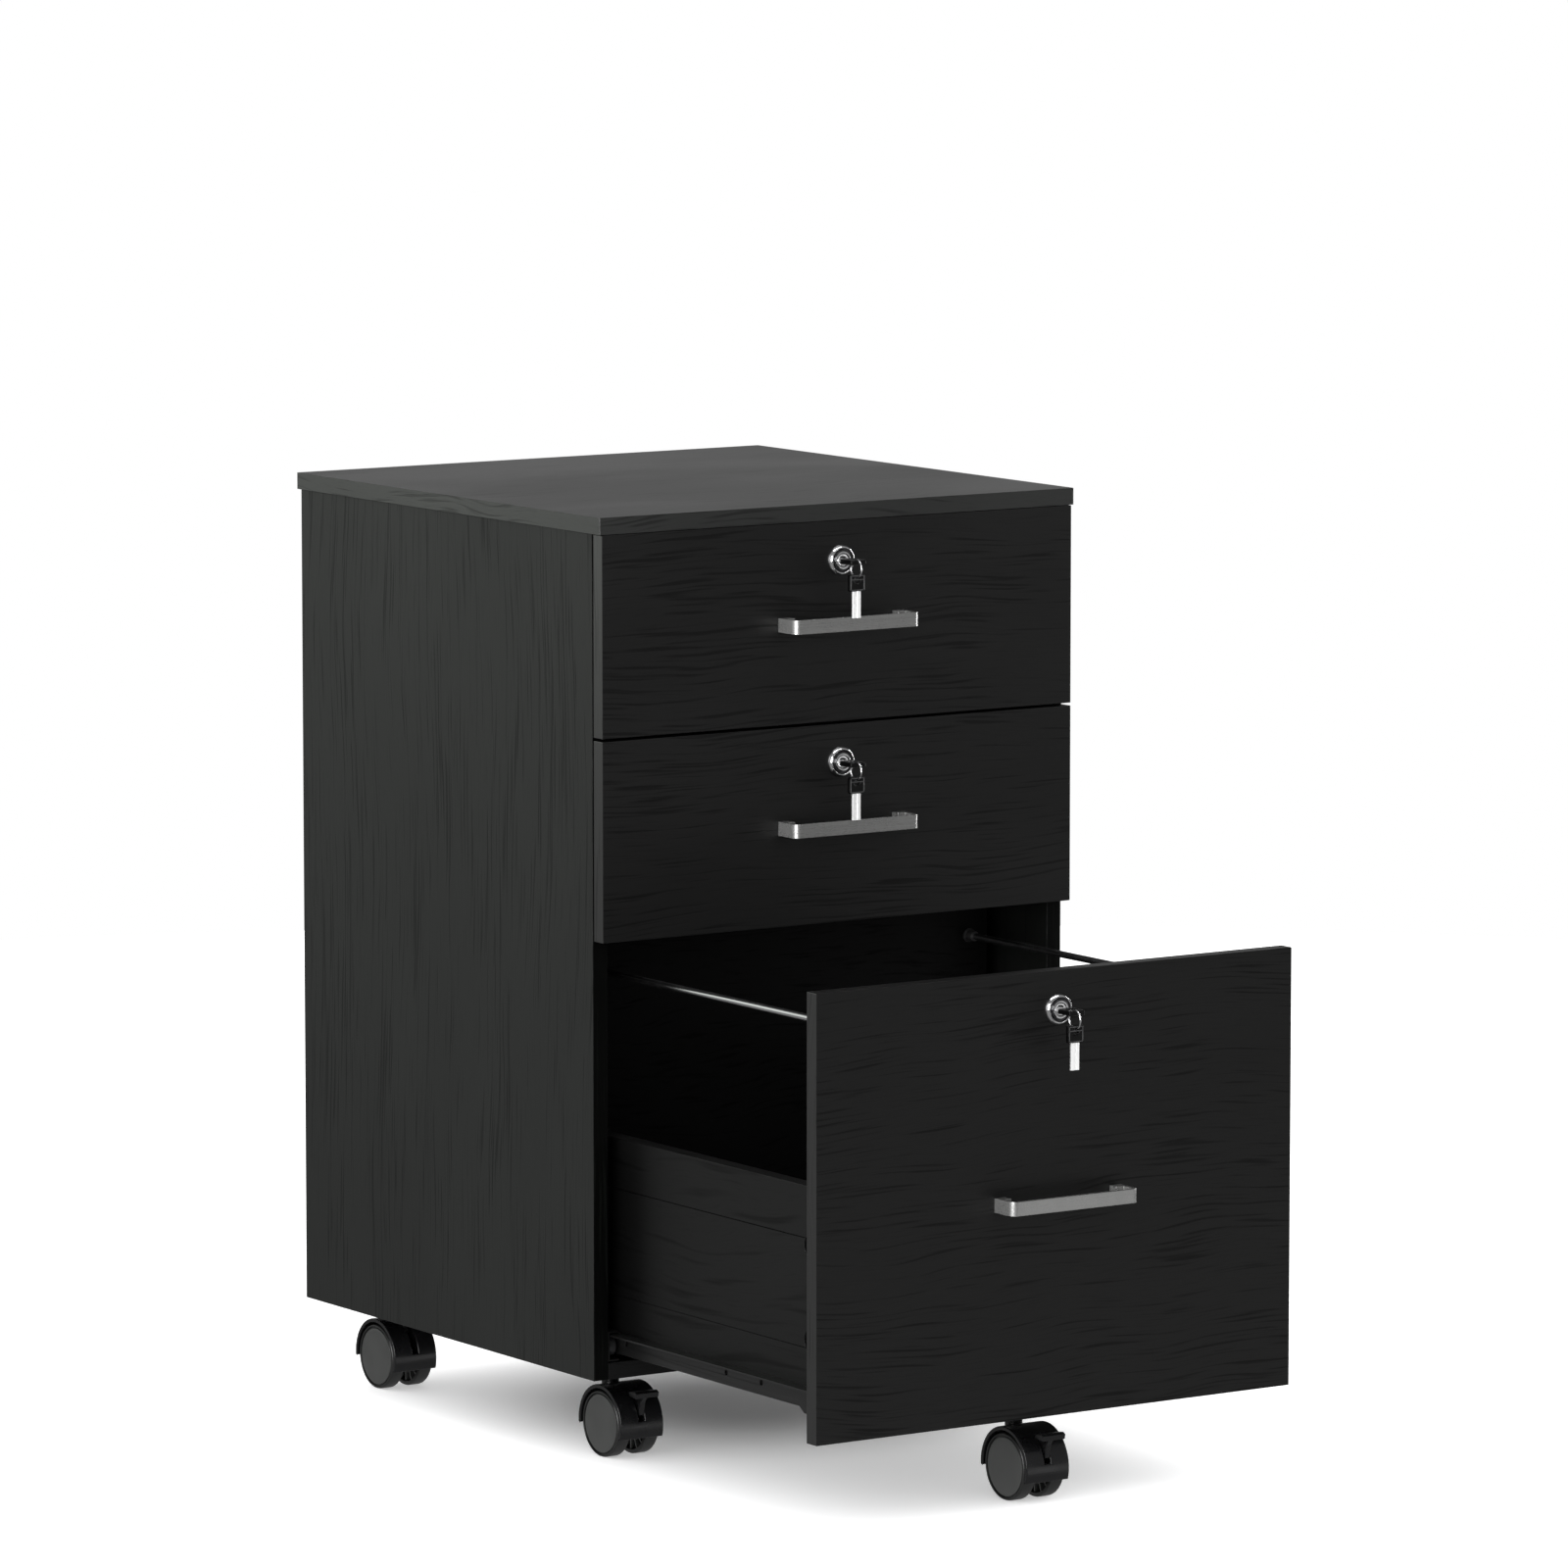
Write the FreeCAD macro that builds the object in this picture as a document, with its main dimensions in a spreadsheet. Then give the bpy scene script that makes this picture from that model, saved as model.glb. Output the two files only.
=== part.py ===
import FreeCAD, Part
import Sketcher
import math
import os
import re

# Rolling pedestal cabinet: two box drawers over one file drawer, on four casters,
# with a fifth caster under the file drawer.
# X is to the right, Y runs from the drawer fronts to the back, Z is up.
# The floor is z = 0. The file drawer stands open and the two box drawers are shut.
# The origin is on the floor under the middle of the whole outline.

DIMENSIONS = {
    # carcass
    "body_width": 400.0,
    "board": 12.0,
    "caster_height": 64.3,
    "carcass_height": 610.5,
    "side_rear": 408.0,
    "front_clearance": 0.4,
    "top_overhang": 1.5,
    "top_depth": 411.5,
    "back_board": 3.0,
    "back_inset": 2.5,
    "back_lift": 2.0,
    "rail_depth": 60.0,
    "notch_width": 66.0,
    "notch_depth": 72.0,
    "corner_round": 0.8,
    # slots that the lock cams rise into, measured from the closed fronts' outer faces
    "cam_slot_left": 8.5,
    "cam_slot_right": 22.0,
    "cam_slot_near": 25.2,
    "cam_slot_far": 29.2,
    "cam_slot_depth": 7.0,
    "rail_overlap": 1.2,
    # drawers
    "reveal": 2.0,
    "top_reveal": 0.4,
    "front_inset": 0.6,
    "small_front": 141.4,
    "file_front": 310.2,
    "box_rear": 350.0,
    "box_width": 351.0,
    "box_lift": 17.7,
    "small_side": 95.0,
    "file_side": 152.5,
    "file_back": 284.0,
    "thin_bottom": 3.0,
    "groove_lift": 8.0,
    "groove_depth": 5.0,
    "groove_play": 0.2,
    "fitting_radius": 7.5,
    "fitting_depth": 9.0,
    "fitting_fit": 0.05,
    "fitting_setback": 31.0,
    "driver_slot_half": 5.0,
    "driver_slot_thick": 0.8,
    "driver_slot_depth": 1.5,
    "file_open": 267.5,
    # hanging rails
    "rod_radius": 2.5,
    "rod_spacing": 319.0,
    "rod_cup_radius": 5.0,
    "rod_cup_length": 8.0,
    "rod_drop": 28.6,
    # handle
    "handle_width": 106.0,
    "handle_reach": 22.5,
    "handle_strip": 3.0,
    "handle_height": 10.0,
    "handle_corner": 5.0,
    "handle_boss": 9.0,
    "handle_boss_depth": 8.0,
    # roller slides
    "sheet_steel": 1.2,
    "slide_length": 350.0,
    "channel_height": 21.2,
    "channel_reach": 9.0,
    "member_height": 15.2,
    "member_foot": 11.2,
    "member_wing": 9.5,
    "tab_drop": 4.0,
    "tab_length": 37.0,
    "tab_slope": 6.0,
    "roller_radius": 7.8,
    "roller_width": 7.6,
    "roller_round": 0.8,
    "roller_inset": 5.6,
    "roller_lift": 4.7,
    "front_roller_y": 24.0,
    "rear_roller_y": 340.0,
    "slide_pin_radius": 2.0,
    "roller_fit": 0.05,
    "channel_drop": 4.8,
    "channel_pin_length": 10.0,
    "member_pin_length": 9.4,
    "wing_setback": 20.0,
    "screw_hole_radius": 2.0,
    "screw_hole_height": 7.6,
    # lock and keys
    "rosette_radius": 11.0,
    "rosette_depth": 3.5,
    "barrel_radius": 8.5,
    "barrel_length": 24.0,
    "lock_nut_radius": 11.5,
    "lock_nut_depth": 4.0,
    "plug_radius": 6.5,
    "plug_proud": 3.9,
    "plug_fit": 0.05,
    "barrel_fit": 0.3,
    "rosette_rim": 1.2,
    "rosette_bevel": 2.6,
    "plug_tail": 2.0,
    "cam_length": 33.0,
    "cam_width": 13.0,
    "cam_plate": 2.0,
    "cam_corner": 3.0,
    "cam_screw_radius": 3.5,
    "cam_screw_head": 2.5,
    "key_head_width": 12.8,
    "key_head_length": 15.0,
    "key_head_thick": 3.2,
    "key_blade_width": 7.0,
    "key_blade_thick": 1.8,
    "key_blade_length": 19.0,
    "key_neck": 4.1,
    "key_head_round": 1.2,
    "key_tip": 1.5,
    "key_hole_radius": 2.7,
    "key_hole_reach": 11.1,
    "spare_head_length": 12.0,
    "spare_hole_height": 8.0,
    "spare_drop": 8.0,
    "ring_radius": 6.6,
    "ring_wire": 0.6,
    "ring_offset": 2.8,
    "ring_drop": 4.1,
    "ring_reach": 20.35,
    # casters, with their stems measured from the closed front and from the file drawer's front
    "caster_spread": 150.7,
    "front_caster_y": 68.4,
    "rear_caster_y": 376.0,
    "fifth_caster_y": 51.6,
    "wheel_radius": 23.8,
    "wheel_width": 10.6,
    "wheel_inner": 6.9,
    "wheel_face_radius": 21.4,
    "wheel_hub_radius": 6.5,
    "wheel_rim": 3.2,
    "wheel_wall": 3.0,
    "rib_thick": 1.6,
    "rib_inset": 1.6,
    "tyre_round": 0.8,
    "axle_radius": 3.0,
    "axle_half": 15.0,
    "wheel_fit": 0.06,
    "hood_radius": 28.2,
    "hood_wall": 2.8,
    "hood_half": 17.9,
    "web_half": 5.8,
    "trail": 13.7,
    "neck_radius": 6.2,
    "neck_foot": 12.0,
    "neck_top": 34.7,
    "stem_radius": 4.0,
    "stem_fit": 0.05,
    "stem_foot": 8.0,
    "stem_tip": 1.0,
    "collar_radius": 6.5,
    "collar_height": 4.7,
    "collar_gap": 0.3,
    "stem_grip": 11.0,
    "brake_half": 9.6,
    "brake_fin_half": 2.0,
    "slot_half": 2.7,
    "slot_low": 4.5,
    "slot_high": 24.0,
    "slot_start": 12.0,
    "block_width": 54.0,
    "block_depth": 48.0,
    "block_corner": 3.0,
}

KINDS = ("upper", "middle", "file")
# share of file_open that each drawer stands open by
OPEN_SHARE = {"upper": 0.0, "middle": 0.0, "file": 1.0}
FRONT_HEIGHTS = {
    "upper": "carcass_height - board - file_front - small_front - 2 * reveal - top_reveal",
    "middle": "small_front",
    "file": "file_front",
}
# lock axis below the front's upper edge, and handle axis above its lower edge
LOCK_DROPS = {"upper": 28.1, "middle": 27.0, "file": 27.0}
HANDLE_HEIGHTS = {"upper": 71.2, "middle": 70.3, "file": 151.7}
# heights of the knock-down fittings above a side board's lower edge
SMALL_FITTING_HEIGHTS = (28.0, 70.0)
FILE_FITTING_HEIGHTS = (45.5, 111.0)
# screw holes along a drawer's slide member, from the back of its front
SCREW_HOLES = (90.0, 134.0, 262.0)
# ends of the hood's shell, as angles from the rear round over the top
HOOD_REAR_END = -6.0
HOOD_FRONT_END = 197.0
WEB_STEPS = 14
RIB_COUNT = 12
BRAKED = ("front_left", "front_right", "fifth")


def formula(text):
    """Writes a formula of dimension names as the sheet's own references."""
    def refer(match):
        word = match.group(0)
        return "dims." + word if word in DIMENSIONS else word
    return re.sub(r"[a-z][a-z0-9_]*", refer, text)


def make_sheet(doc):
    sheet = doc.addObject("Spreadsheet::Sheet", "dims")
    for row, (alias, number) in enumerate(DIMENSIONS.items(), start=1):
        sheet.set("A%d" % row, alias)
        sheet.set("B%d" % row, str(number))
        sheet.setAlias("B%d" % row, alias)
    doc.recompute()
    return sheet


def size(text):
    """The value in millimetres of a formula of dimension names."""
    return float(FreeCAD.ActiveDocument.getObject("dims").evalExpression(formula(text)))


def vec(x, y, z):
    return FreeCAD.Vector(x, y, z)


# ---------------------------------------------------------------- sketch helpers

def new_body(doc, name):
    return doc.addObject("PartDesign::Body", name)


def new_sketch(body, role):
    """A sketch on one of the body's own origin planes."""
    sketch = body.newObject("Sketcher::SketchObject", body.Name + "_sketch")
    for plane in body.Origin.OriginFeatures:
        if plane.Role == role:
            sketch.AttachmentSupport = [(plane, "")]
    sketch.MapMode = "FlatFace"
    return sketch


def pin_point(sketch, geometry, point, across, along):
    """Holds one point of a sketch at two formulas measured from the sketch origin."""
    for kind, text in (("DistanceX", across), ("DistanceY", along)):
        row = sketch.addConstraint(Sketcher.Constraint(kind, -1, 1, geometry, point, size(text)))
        sketch.setExpression("Constraints[%d]" % row, formula(text))


def polygon(sketch, corners):
    """Closed straight outline through corners, each a pair of formulas."""
    first = sketch.GeometryCount
    count = len(corners)
    points = [vec(size(a), size(b), 0) for a, b in corners]
    for index in range(count):
        segment = Part.LineSegment(points[index], points[(index + 1) % count])
        sketch.addGeometry(segment, False)
    for index in range(count):
        following = first + (index + 1) % count
        sketch.addConstraint(Sketcher.Constraint("Coincident", first + index, 2, following, 1))
    for index, (across, along) in enumerate(corners):
        pin_point(sketch, first + index, 1, across, along)


def rectangle(sketch, left, low, right, high):
    polygon(sketch, [(left, low), (right, low), (right, high), (left, high)])


def circle(sketch, across, along, radius):
    centre = vec(size(across), size(along), 0)
    index = sketch.addGeometry(Part.Circle(centre, vec(0, 0, 1), size(radius)), False)
    pin_point(sketch, index, 3, across, along)
    row = sketch.addConstraint(Sketcher.Constraint("Radius", index, size(radius)))
    sketch.setExpression("Constraints[%d]" % row, formula(radius))


def pad(body, sketch, length, symmetric=False, backwards=False):
    feature = body.newObject("PartDesign::Pad", body.Name + "_pad")
    feature.Profile = sketch
    feature.setExpression("Length", formula(length))
    feature.SideType = "Symmetric" if symmetric else "One side"
    feature.Reversed = backwards
    body.Document.recompute()
    return feature


def cut_through(body, sketch):
    """Cuts the sketch out of the body on both sides of its plane."""
    before = body.Shape.Volume
    feature = body.newObject("PartDesign::Pocket", body.Name + "_cut")
    feature.Profile = sketch
    feature.Type = "ThroughAll"
    feature.SideType = "Symmetric"
    body.Document.recompute()
    check_removed(body, before)
    return feature


def cut_depth(body, sketch, depth, upwards=True):
    """Cuts the sketch to a depth, along its plane's normal when upwards is set."""
    before = body.Shape.Volume
    feature = body.newObject("PartDesign::Pocket", body.Name + "_cut")
    feature.Profile = sketch
    feature.setExpression("Length", formula(depth))
    feature.Reversed = upwards
    body.Document.recompute()
    check_removed(body, before)
    return feature


def check_removed(body, before):
    if body.Shape.Volume >= before - 1e-6:
        raise RuntimeError(body.Name + ": a cut removed nothing")


def revolve(body, sketch, axis, groove=False):
    """Turns a sketch fully round its horizontal or vertical axis."""
    kind = "PartDesign::Groove" if groove else "PartDesign::Revolution"
    feature = body.newObject(kind, body.Name + "_turn")
    feature.Profile = sketch
    feature.ReferenceAxis = (sketch, [axis])
    feature.Angle = 360.0
    body.Document.recompute()
    return feature


def fillet_edges(body, base, radius, chosen):
    """Rounds the edges of base that the test accepts."""
    names = []
    for number, edge in enumerate(base.Shape.Edges, start=1):
        if chosen(edge):
            names.append("Edge%d" % number)
    if not names:
        raise RuntimeError(body.Name + ": no edge to round")
    feature = body.newObject("PartDesign::Fillet", body.Name + "_round")
    feature.Base = (base, names)
    feature.setExpression("Radius", formula(radius))
    body.Document.recompute()
    return feature


def upright(edge):
    """True for a straight edge along Z."""
    box = edge.BoundBox
    return box.XLength < 1e-6 and box.YLength < 1e-6


def upright_at(x, y):
    """Test for the upright edges at y and at either x or -x."""
    def chosen(edge):
        at = edge.BoundBox.Center
        return upright(edge) and abs(abs(at.x) - x) < 0.01 and abs(at.y - y) < 0.01
    return chosen


def lift_sketch(sketch, height):
    """Moves a sketch along its plane's normal."""
    sketch.AttachmentOffset = FreeCAD.Placement(vec(0, 0, size(height)), FreeCAD.Rotation())
    sketch.setExpression("AttachmentOffset.Base.z", formula(height))


# ---------------------------------------------------------------- placing

def front_plane():
    """Y of the closed drawer fronts' outer faces, which centres the outline on the origin."""
    key_reach = size("rosette_depth + ring_reach + ring_radius + ring_wire")
    return (size("file_open") + key_reach - size("top_depth")) / 2


def from_front(kind=None):
    """Y of a drawer's outer face as it stands, or of the closed fronts for the carcass."""
    if kind is None:
        return front_plane()
    return front_plane() - size("file_open") * OPEN_SHARE[kind]


def front_bottom(kind):
    """Height of the lower edge of a drawer front."""
    low = size("caster_height")
    if kind == "file":
        return low
    low += size("file_front + reveal")
    if kind == "middle":
        return low
    return low + size("small_front + reveal")


def front_top(kind):
    return front_bottom(kind) + size(FRONT_HEIGHTS[kind])


def box_bottom(kind):
    """Height of the lower edge of a drawer's side boards."""
    return front_bottom(kind) + size("box_lift")


def lock_height(kind):
    return front_top(kind) - LOCK_DROPS[kind]


def side_word(side):
    return "left" if side < 0 else "right"


def place(item, x, y, z, turn=None):
    item.Placement = FreeCAD.Placement(vec(x, y, z), turn or FreeCAD.Rotation())


def finish(item, label):
    item.Label = label
    return item


def group(doc, label, members):
    """Several separate solids kept as one sub-part."""
    bundle = doc.addObject("Part::Compound", label + "_group")
    bundle.Links = members
    return finish(bundle, label)


# ---------------------------------------------------------------- carcass

def board_body(doc, name, width, depth, height):
    """Flat board from the origin corner, upright along Z by its height."""
    body = new_body(doc, name)
    sketch = new_sketch(body, "XY_Plane")
    rectangle(sketch, "0", "0", width, depth)
    pad(body, sketch, height)
    return body


def cam_slot(sketch):
    rectangle(sketch, "-cam_slot_left", "cam_slot_near", "cam_slot_right", "cam_slot_far")


def make_top_panel(doc):
    body = new_body(doc, "top_panel_body")
    sketch = new_sketch(body, "XY_Plane")
    half = "body_width / 2 + top_overhang"
    rectangle(sketch, "-(%s)" % half, "0", half, "top_depth")
    base = pad(body, sketch, "board")
    fillet_edges(body, base, "corner_round", upright)
    # blind slot in the underside for the upper drawer's lock cam
    slot = new_sketch(body, "XY_Plane")
    cam_slot(slot)
    cut_depth(body, slot, "cam_slot_depth")
    place(body, 0, from_front(), size("caster_height + carcass_height - board"))
    return finish(body, "top_panel")


def make_side_panel(doc, side):
    name = side_word(side) + "_side_panel"
    depth = "side_rear - board - front_clearance"
    body = board_body(doc, name + "_body", "board", depth, "carcass_height - board")
    edge = size("body_width / 2")
    place(body, -edge if side < 0 else edge - size("board"),
          from_front() + size("board + front_clearance"), size("caster_height"))
    return finish(body, name)


def make_back_panel(doc):
    height = "carcass_height - board - back_lift"
    body = board_body(doc, "back_panel_body", "body_width - 2 * back_inset", "back_board", height)
    place(body, -size("body_width / 2 - back_inset"), from_front() + size("side_rear"),
          size("caster_height + back_lift"))
    return finish(body, "back_panel")


def make_bottom_panel(doc):
    """Floor of the carcass, notched in front for the caster under the file drawer."""
    body = new_body(doc, "bottom_panel_body")
    sketch = new_sketch(body, "XY_Plane")
    half = "(body_width / 2 - board)"
    near = "(board + front_clearance)"
    deep = "(%s + notch_depth)" % near
    polygon(sketch, [("-" + half, near), ("-notch_width / 2", near), ("-notch_width / 2", deep),
                     ("notch_width / 2", deep), ("notch_width / 2", near), (half, near),
                     (half, "side_rear"), ("-" + half, "side_rear")])
    pad(body, sketch, "board")
    holes = new_sketch(body, "XY_Plane")
    for across in ("-caster_spread", "caster_spread"):
        for along in ("front_caster_y", "rear_caster_y"):
            circle(holes, across, along, "stem_radius + stem_fit")
    cut_through(body, holes)
    place(body, 0, from_front(), size("caster_height"))
    return finish(body, "bottom_panel")


def make_front_rail(doc, kind):
    """Flat rail over a drawer, slotted for the lock cam of the drawer below it."""
    body = new_body(doc, kind + "_rail_body")
    sketch = new_sketch(body, "XY_Plane")
    half = "(body_width / 2 - board)"
    near = "(board + front_clearance)"
    rectangle(sketch, "-" + half, near, half, near + " + rail_depth")
    cam_slot(sketch)
    pad(body, sketch, "board")
    place(body, 0, from_front(), front_top(kind) + size("reveal - rail_overlap"))
    return body


def make_front_rails(doc):
    return group(doc, "front_rails", [make_front_rail(doc, kind) for kind in ("middle", "file")])


# ---------------------------------------------------------------- roller slides

def mirrored(doc, item):
    """The right-hand twin of a left-hand solid."""
    twin = doc.addObject("Part::Mirroring", item.Name + "_mirror")
    twin.Source = item
    twin.Normal = vec(1, 0, 0)
    return twin


def make_slide_channel(doc, kind):
    """Cabinet member: a C channel on the left side panel with the front roller's pin."""
    body = new_body(doc, kind + "_channel")
    wall = "sheet_steel"
    reach = "channel_reach"
    tall = "channel_height"
    sketch = new_sketch(body, "XZ_Plane")
    polygon(sketch, [("0", "0"), (reach, "0"), (reach, wall), (wall, wall),
                     (wall, tall + " - " + wall), (reach, tall + " - " + wall),
                     (reach, tall), ("0", tall)])
    pad(body, sketch, "slide_length", backwards=True)
    pin = new_sketch(body, "YZ_Plane")
    circle(pin, "front_roller_y - board - front_clearance", "channel_drop + roller_lift",
           "slide_pin_radius")
    pad(body, pin, "channel_pin_length")
    place(body, -size("body_width / 2 - board"), from_front() + size("board + front_clearance"),
          box_bottom(kind) - size("channel_drop"))
    return body


def make_slide_member(doc, kind):
    """Drawer member: web on the left side board, foot under it, wing that rides the roller."""
    body = new_body(doc, kind + "_member")
    wall = "sheet_steel"
    length = "(box_rear - board)"
    foot = new_sketch(body, "XZ_Plane")
    rectangle(foot, "0", "-" + wall, "member_foot", "0")
    pad(body, foot, length, backwards=True)
    web = new_sketch(body, "YZ_Plane")
    low = "-" + wall
    tab = "(-%s - tab_drop)" % wall
    high = "(member_height - %s)" % wall
    polygon(web, [("0", tab), ("tab_length", tab), ("tab_length + tab_slope", low),
                  (length, low), (length, high), ("0", high)])
    pad(body, web, wall)
    wing = new_sketch(body, "XZ_Plane")
    rectangle(wing, "-member_wing", high + " - " + wall, "0", high)
    pad(body, wing, length + " - wing_setback", backwards=True)
    pin = new_sketch(body, "YZ_Plane")
    circle(pin, "rear_roller_y - board", "roller_lift", "slide_pin_radius")
    pad(body, pin, "member_pin_length", backwards=True)
    holes = new_sketch(body, "YZ_Plane")
    for along in SCREW_HOLES:
        circle(holes, str(along), "screw_hole_height", "screw_hole_radius")
    cut_through(body, holes)
    place(body, -size("box_width / 2 + sheet_steel"), from_front(kind) + size("board"),
          box_bottom(kind))
    return body


def make_cabinet_slides(doc):
    channels = []
    for kind in KINDS:
        left = make_slide_channel(doc, kind)
        channels += [left, mirrored(doc, left)]
    return group(doc, "cabinet_slides", channels)


def make_drawer_slides(doc, kind):
    left = make_slide_member(doc, kind)
    return group(doc, kind + "_drawer_slides", [left, mirrored(doc, left)])


def make_roller(doc, name):
    """Nylon roller with a rounded running face, turning on X."""
    body = new_body(doc, name)
    sketch = new_sketch(body, "XY_Plane")
    half = "roller_width / 2"
    bore = "slide_pin_radius + roller_fit"
    shoulder = "roller_radius - roller_round"
    polygon(sketch, [("-" + half, bore), (half, bore), (half, shoulder),
                     (half + " - roller_round", "roller_radius"),
                     ("-%s + roller_round" % half, "roller_radius"), ("-" + half, shoulder)])
    revolve(body, sketch, "H_Axis")
    return body


def make_roller_pair(doc, kind, end):
    """Left and right rollers of one drawer on one common axis."""
    if end == "front":
        along = from_front() + size("front_roller_y")
    else:
        along = from_front(kind) + size("rear_roller_y")
    across = size("body_width / 2 - board - roller_inset")
    height = box_bottom(kind) + size("roller_lift")
    pair = []
    for side in (-1, 1):
        roller = make_roller(doc, "%s_%s_roller_%s" % (kind, end, side_word(side)))
        place(roller, side * across, along, height)
        pair.append(roller)
    return group(doc, "%s_%s_rollers" % (kind, end), pair)


# ---------------------------------------------------------------- drawer boxes

def make_drawer_front(doc, kind):
    body = new_body(doc, kind + "_front_body")
    sketch = new_sketch(body, "XZ_Plane")
    half = "(body_width / 2 - front_inset)"
    rectangle(sketch, "-" + half, "0", half, FRONT_HEIGHTS[kind])
    lock_z = "%s - %s" % (FRONT_HEIGHTS[kind], LOCK_DROPS[kind])
    circle(sketch, "0", lock_z, "barrel_radius + barrel_fit")
    pad(body, sketch, "board", backwards=True)
    place(body, 0, from_front(kind), front_bottom(kind))
    return finish(body, kind + "_drawer_front")


def side_height(kind):
    return "file_side" if kind == "file" else "small_side"


def fitting_heights(kind):
    return FILE_FITTING_HEIGHTS if kind == "file" else SMALL_FITTING_HEIGHTS


def make_drawer_side(doc, kind, side):
    """Side board, bored for its fittings and, on a box drawer, grooved for the thin bottom."""
    name = "%s_side_%s" % (kind, side_word(side))
    body = board_body(doc, name, "board", "box_rear - 2 * board", side_height(kind))
    if kind != "file":
        groove = new_sketch(body, "XZ_Plane")
        inner = ("board - groove_depth", "board") if side < 0 else ("0", "groove_depth")
        rectangle(groove, inner[0], "groove_lift", inner[1],
                  "groove_lift + thin_bottom + groove_play")
        cut_through(body, groove)
    bores = new_sketch(body, "YZ_Plane")
    for height in fitting_heights(kind):
        for along in ("fitting_setback", "box_rear - 2 * board - fitting_setback"):
            circle(bores, along, str(height), "fitting_radius + fitting_fit")
    if side > 0:
        lift_sketch(bores, "board - fitting_depth")
    cut_depth(body, bores, "fitting_depth")
    edge = size("box_width / 2")
    place(body, -edge if side < 0 else edge - size("board"),
          from_front(kind) + size("board"), box_bottom(kind))
    return body


def make_fitting(doc, kind, side, along, height):
    """Round cam fitting with a crossed driver slot, let into the side board's outer face."""
    body = new_body(doc, "%s_fitting" % kind)
    sketch = new_sketch(body, "YZ_Plane")
    circle(sketch, "0", "0", "fitting_radius")
    pad(body, sketch, "fitting_depth")
    long_half, thin_half = "driver_slot_half", "driver_slot_thick"
    for wide, tall in ((long_half, thin_half), (thin_half, long_half)):
        slot = new_sketch(body, "YZ_Plane")
        rectangle(slot, "-" + wide, "-" + tall, wide, tall)
        cut_depth(body, slot, "driver_slot_depth")
    outer = size("box_width / 2")
    spin = FreeCAD.Rotation(vec(0, 0, 1), 0.0 if side < 0 else 180.0)
    place(body, side * outer, from_front(kind) + size("board") + along,
          box_bottom(kind) + height, spin)
    return body


def make_drawer_sides(doc, kind):
    members = []
    near = size("fitting_setback")
    far = size("box_rear - 2 * board") - near
    for side in (-1, 1):
        members.append(make_drawer_side(doc, kind, side))
        for height in fitting_heights(kind):
            for along in (near, far):
                members.append(make_fitting(doc, kind, side, along, height))
    return group(doc, kind + "_drawer_sides", members)


def make_drawer_back(doc, kind):
    height = "file_back" if kind == "file" else "small_side"
    body = board_body(doc, kind + "_back_body", "box_width", "board", height)
    place(body, -size("box_width / 2"), from_front(kind) + size("box_rear - board"),
          box_bottom(kind))
    return finish(body, kind + "_drawer_back")


def make_drawer_bottom(doc, kind):
    """A thick board carries the files and the caster; the box drawers have a thin sheet."""
    depth = "box_rear - 2 * board"
    if kind == "file":
        body = board_body(doc, "file_bottom_body", "box_width - 2 * board", depth, "board")
        half = size("box_width / 2 - board")
        lift = 0.0
    else:
        width = "box_width - 2 * board + 2 * groove_depth - 2 * groove_play"
        body = board_body(doc, kind + "_bottom_body", width, depth, "thin_bottom")
        half = size(width) / 2
        lift = size("groove_lift + groove_play / 2")
    place(body, -half, from_front(kind) + size("board"), box_bottom(kind) + lift)
    return finish(body, kind + "_drawer_bottom")


def make_handle(doc, kind):
    """Flat strip bent into a shallow U, with a foot at each end."""
    body = new_body(doc, kind + "_handle_body")
    sketch = new_sketch(body, "XY_Plane")
    half = "(handle_width / 2)"
    inside = "(handle_width / 2 - handle_strip)"
    foot = "(handle_width / 2 - handle_boss)"
    step = "-handle_boss_depth"
    under = "-(handle_reach - handle_strip)"
    reach = "-handle_reach"
    polygon(sketch, [("-" + half, "0"), ("-" + half, reach), (half, reach), (half, "0"),
                     (foot, "0"), (foot, step), (inside, step), (inside, under),
                     ("-" + inside, under), ("-" + inside, step), ("-" + foot, step),
                     ("-" + foot, "0")])
    base = pad(body, sketch, "handle_height", symmetric=True)
    base = fillet_edges(body, base, "handle_corner",
                        upright_at(size("handle_width / 2"), -size("handle_reach")))
    fillet_edges(body, base, "handle_corner - handle_strip",
                 upright_at(size("handle_width / 2 - handle_strip"),
                            -size("handle_reach - handle_strip")))
    place(body, 0, from_front(kind), front_bottom(kind) + HANDLE_HEIGHTS[kind])
    return finish(body, kind + "_handle")


def make_hanging_rails(doc):
    """Two round rods for hanging folders, with a cup at each end."""
    rods = []
    for side in (-1, 1):
        body = new_body(doc, "hanging_rod_" + side_word(side))
        sketch = new_sketch(body, "YZ_Plane")
        length = "(box_rear - 2 * board)"
        cup = "rod_cup_length"
        polygon(sketch, [("0", "0"), (length, "0"), (length, "rod_cup_radius"),
                         (length + " - " + cup, "rod_cup_radius"),
                         (length + " - " + cup, "rod_radius"), (cup, "rod_radius"),
                         (cup, "rod_cup_radius"), ("0", "rod_cup_radius")])
        revolve(body, sketch, "H_Axis")
        place(body, side * size("rod_spacing / 2"), from_front("file") + size("board"),
              front_top("file") - size("rod_drop"))
        rods.append(body)
    return group(doc, "file_hanging_rails", rods)


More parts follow.
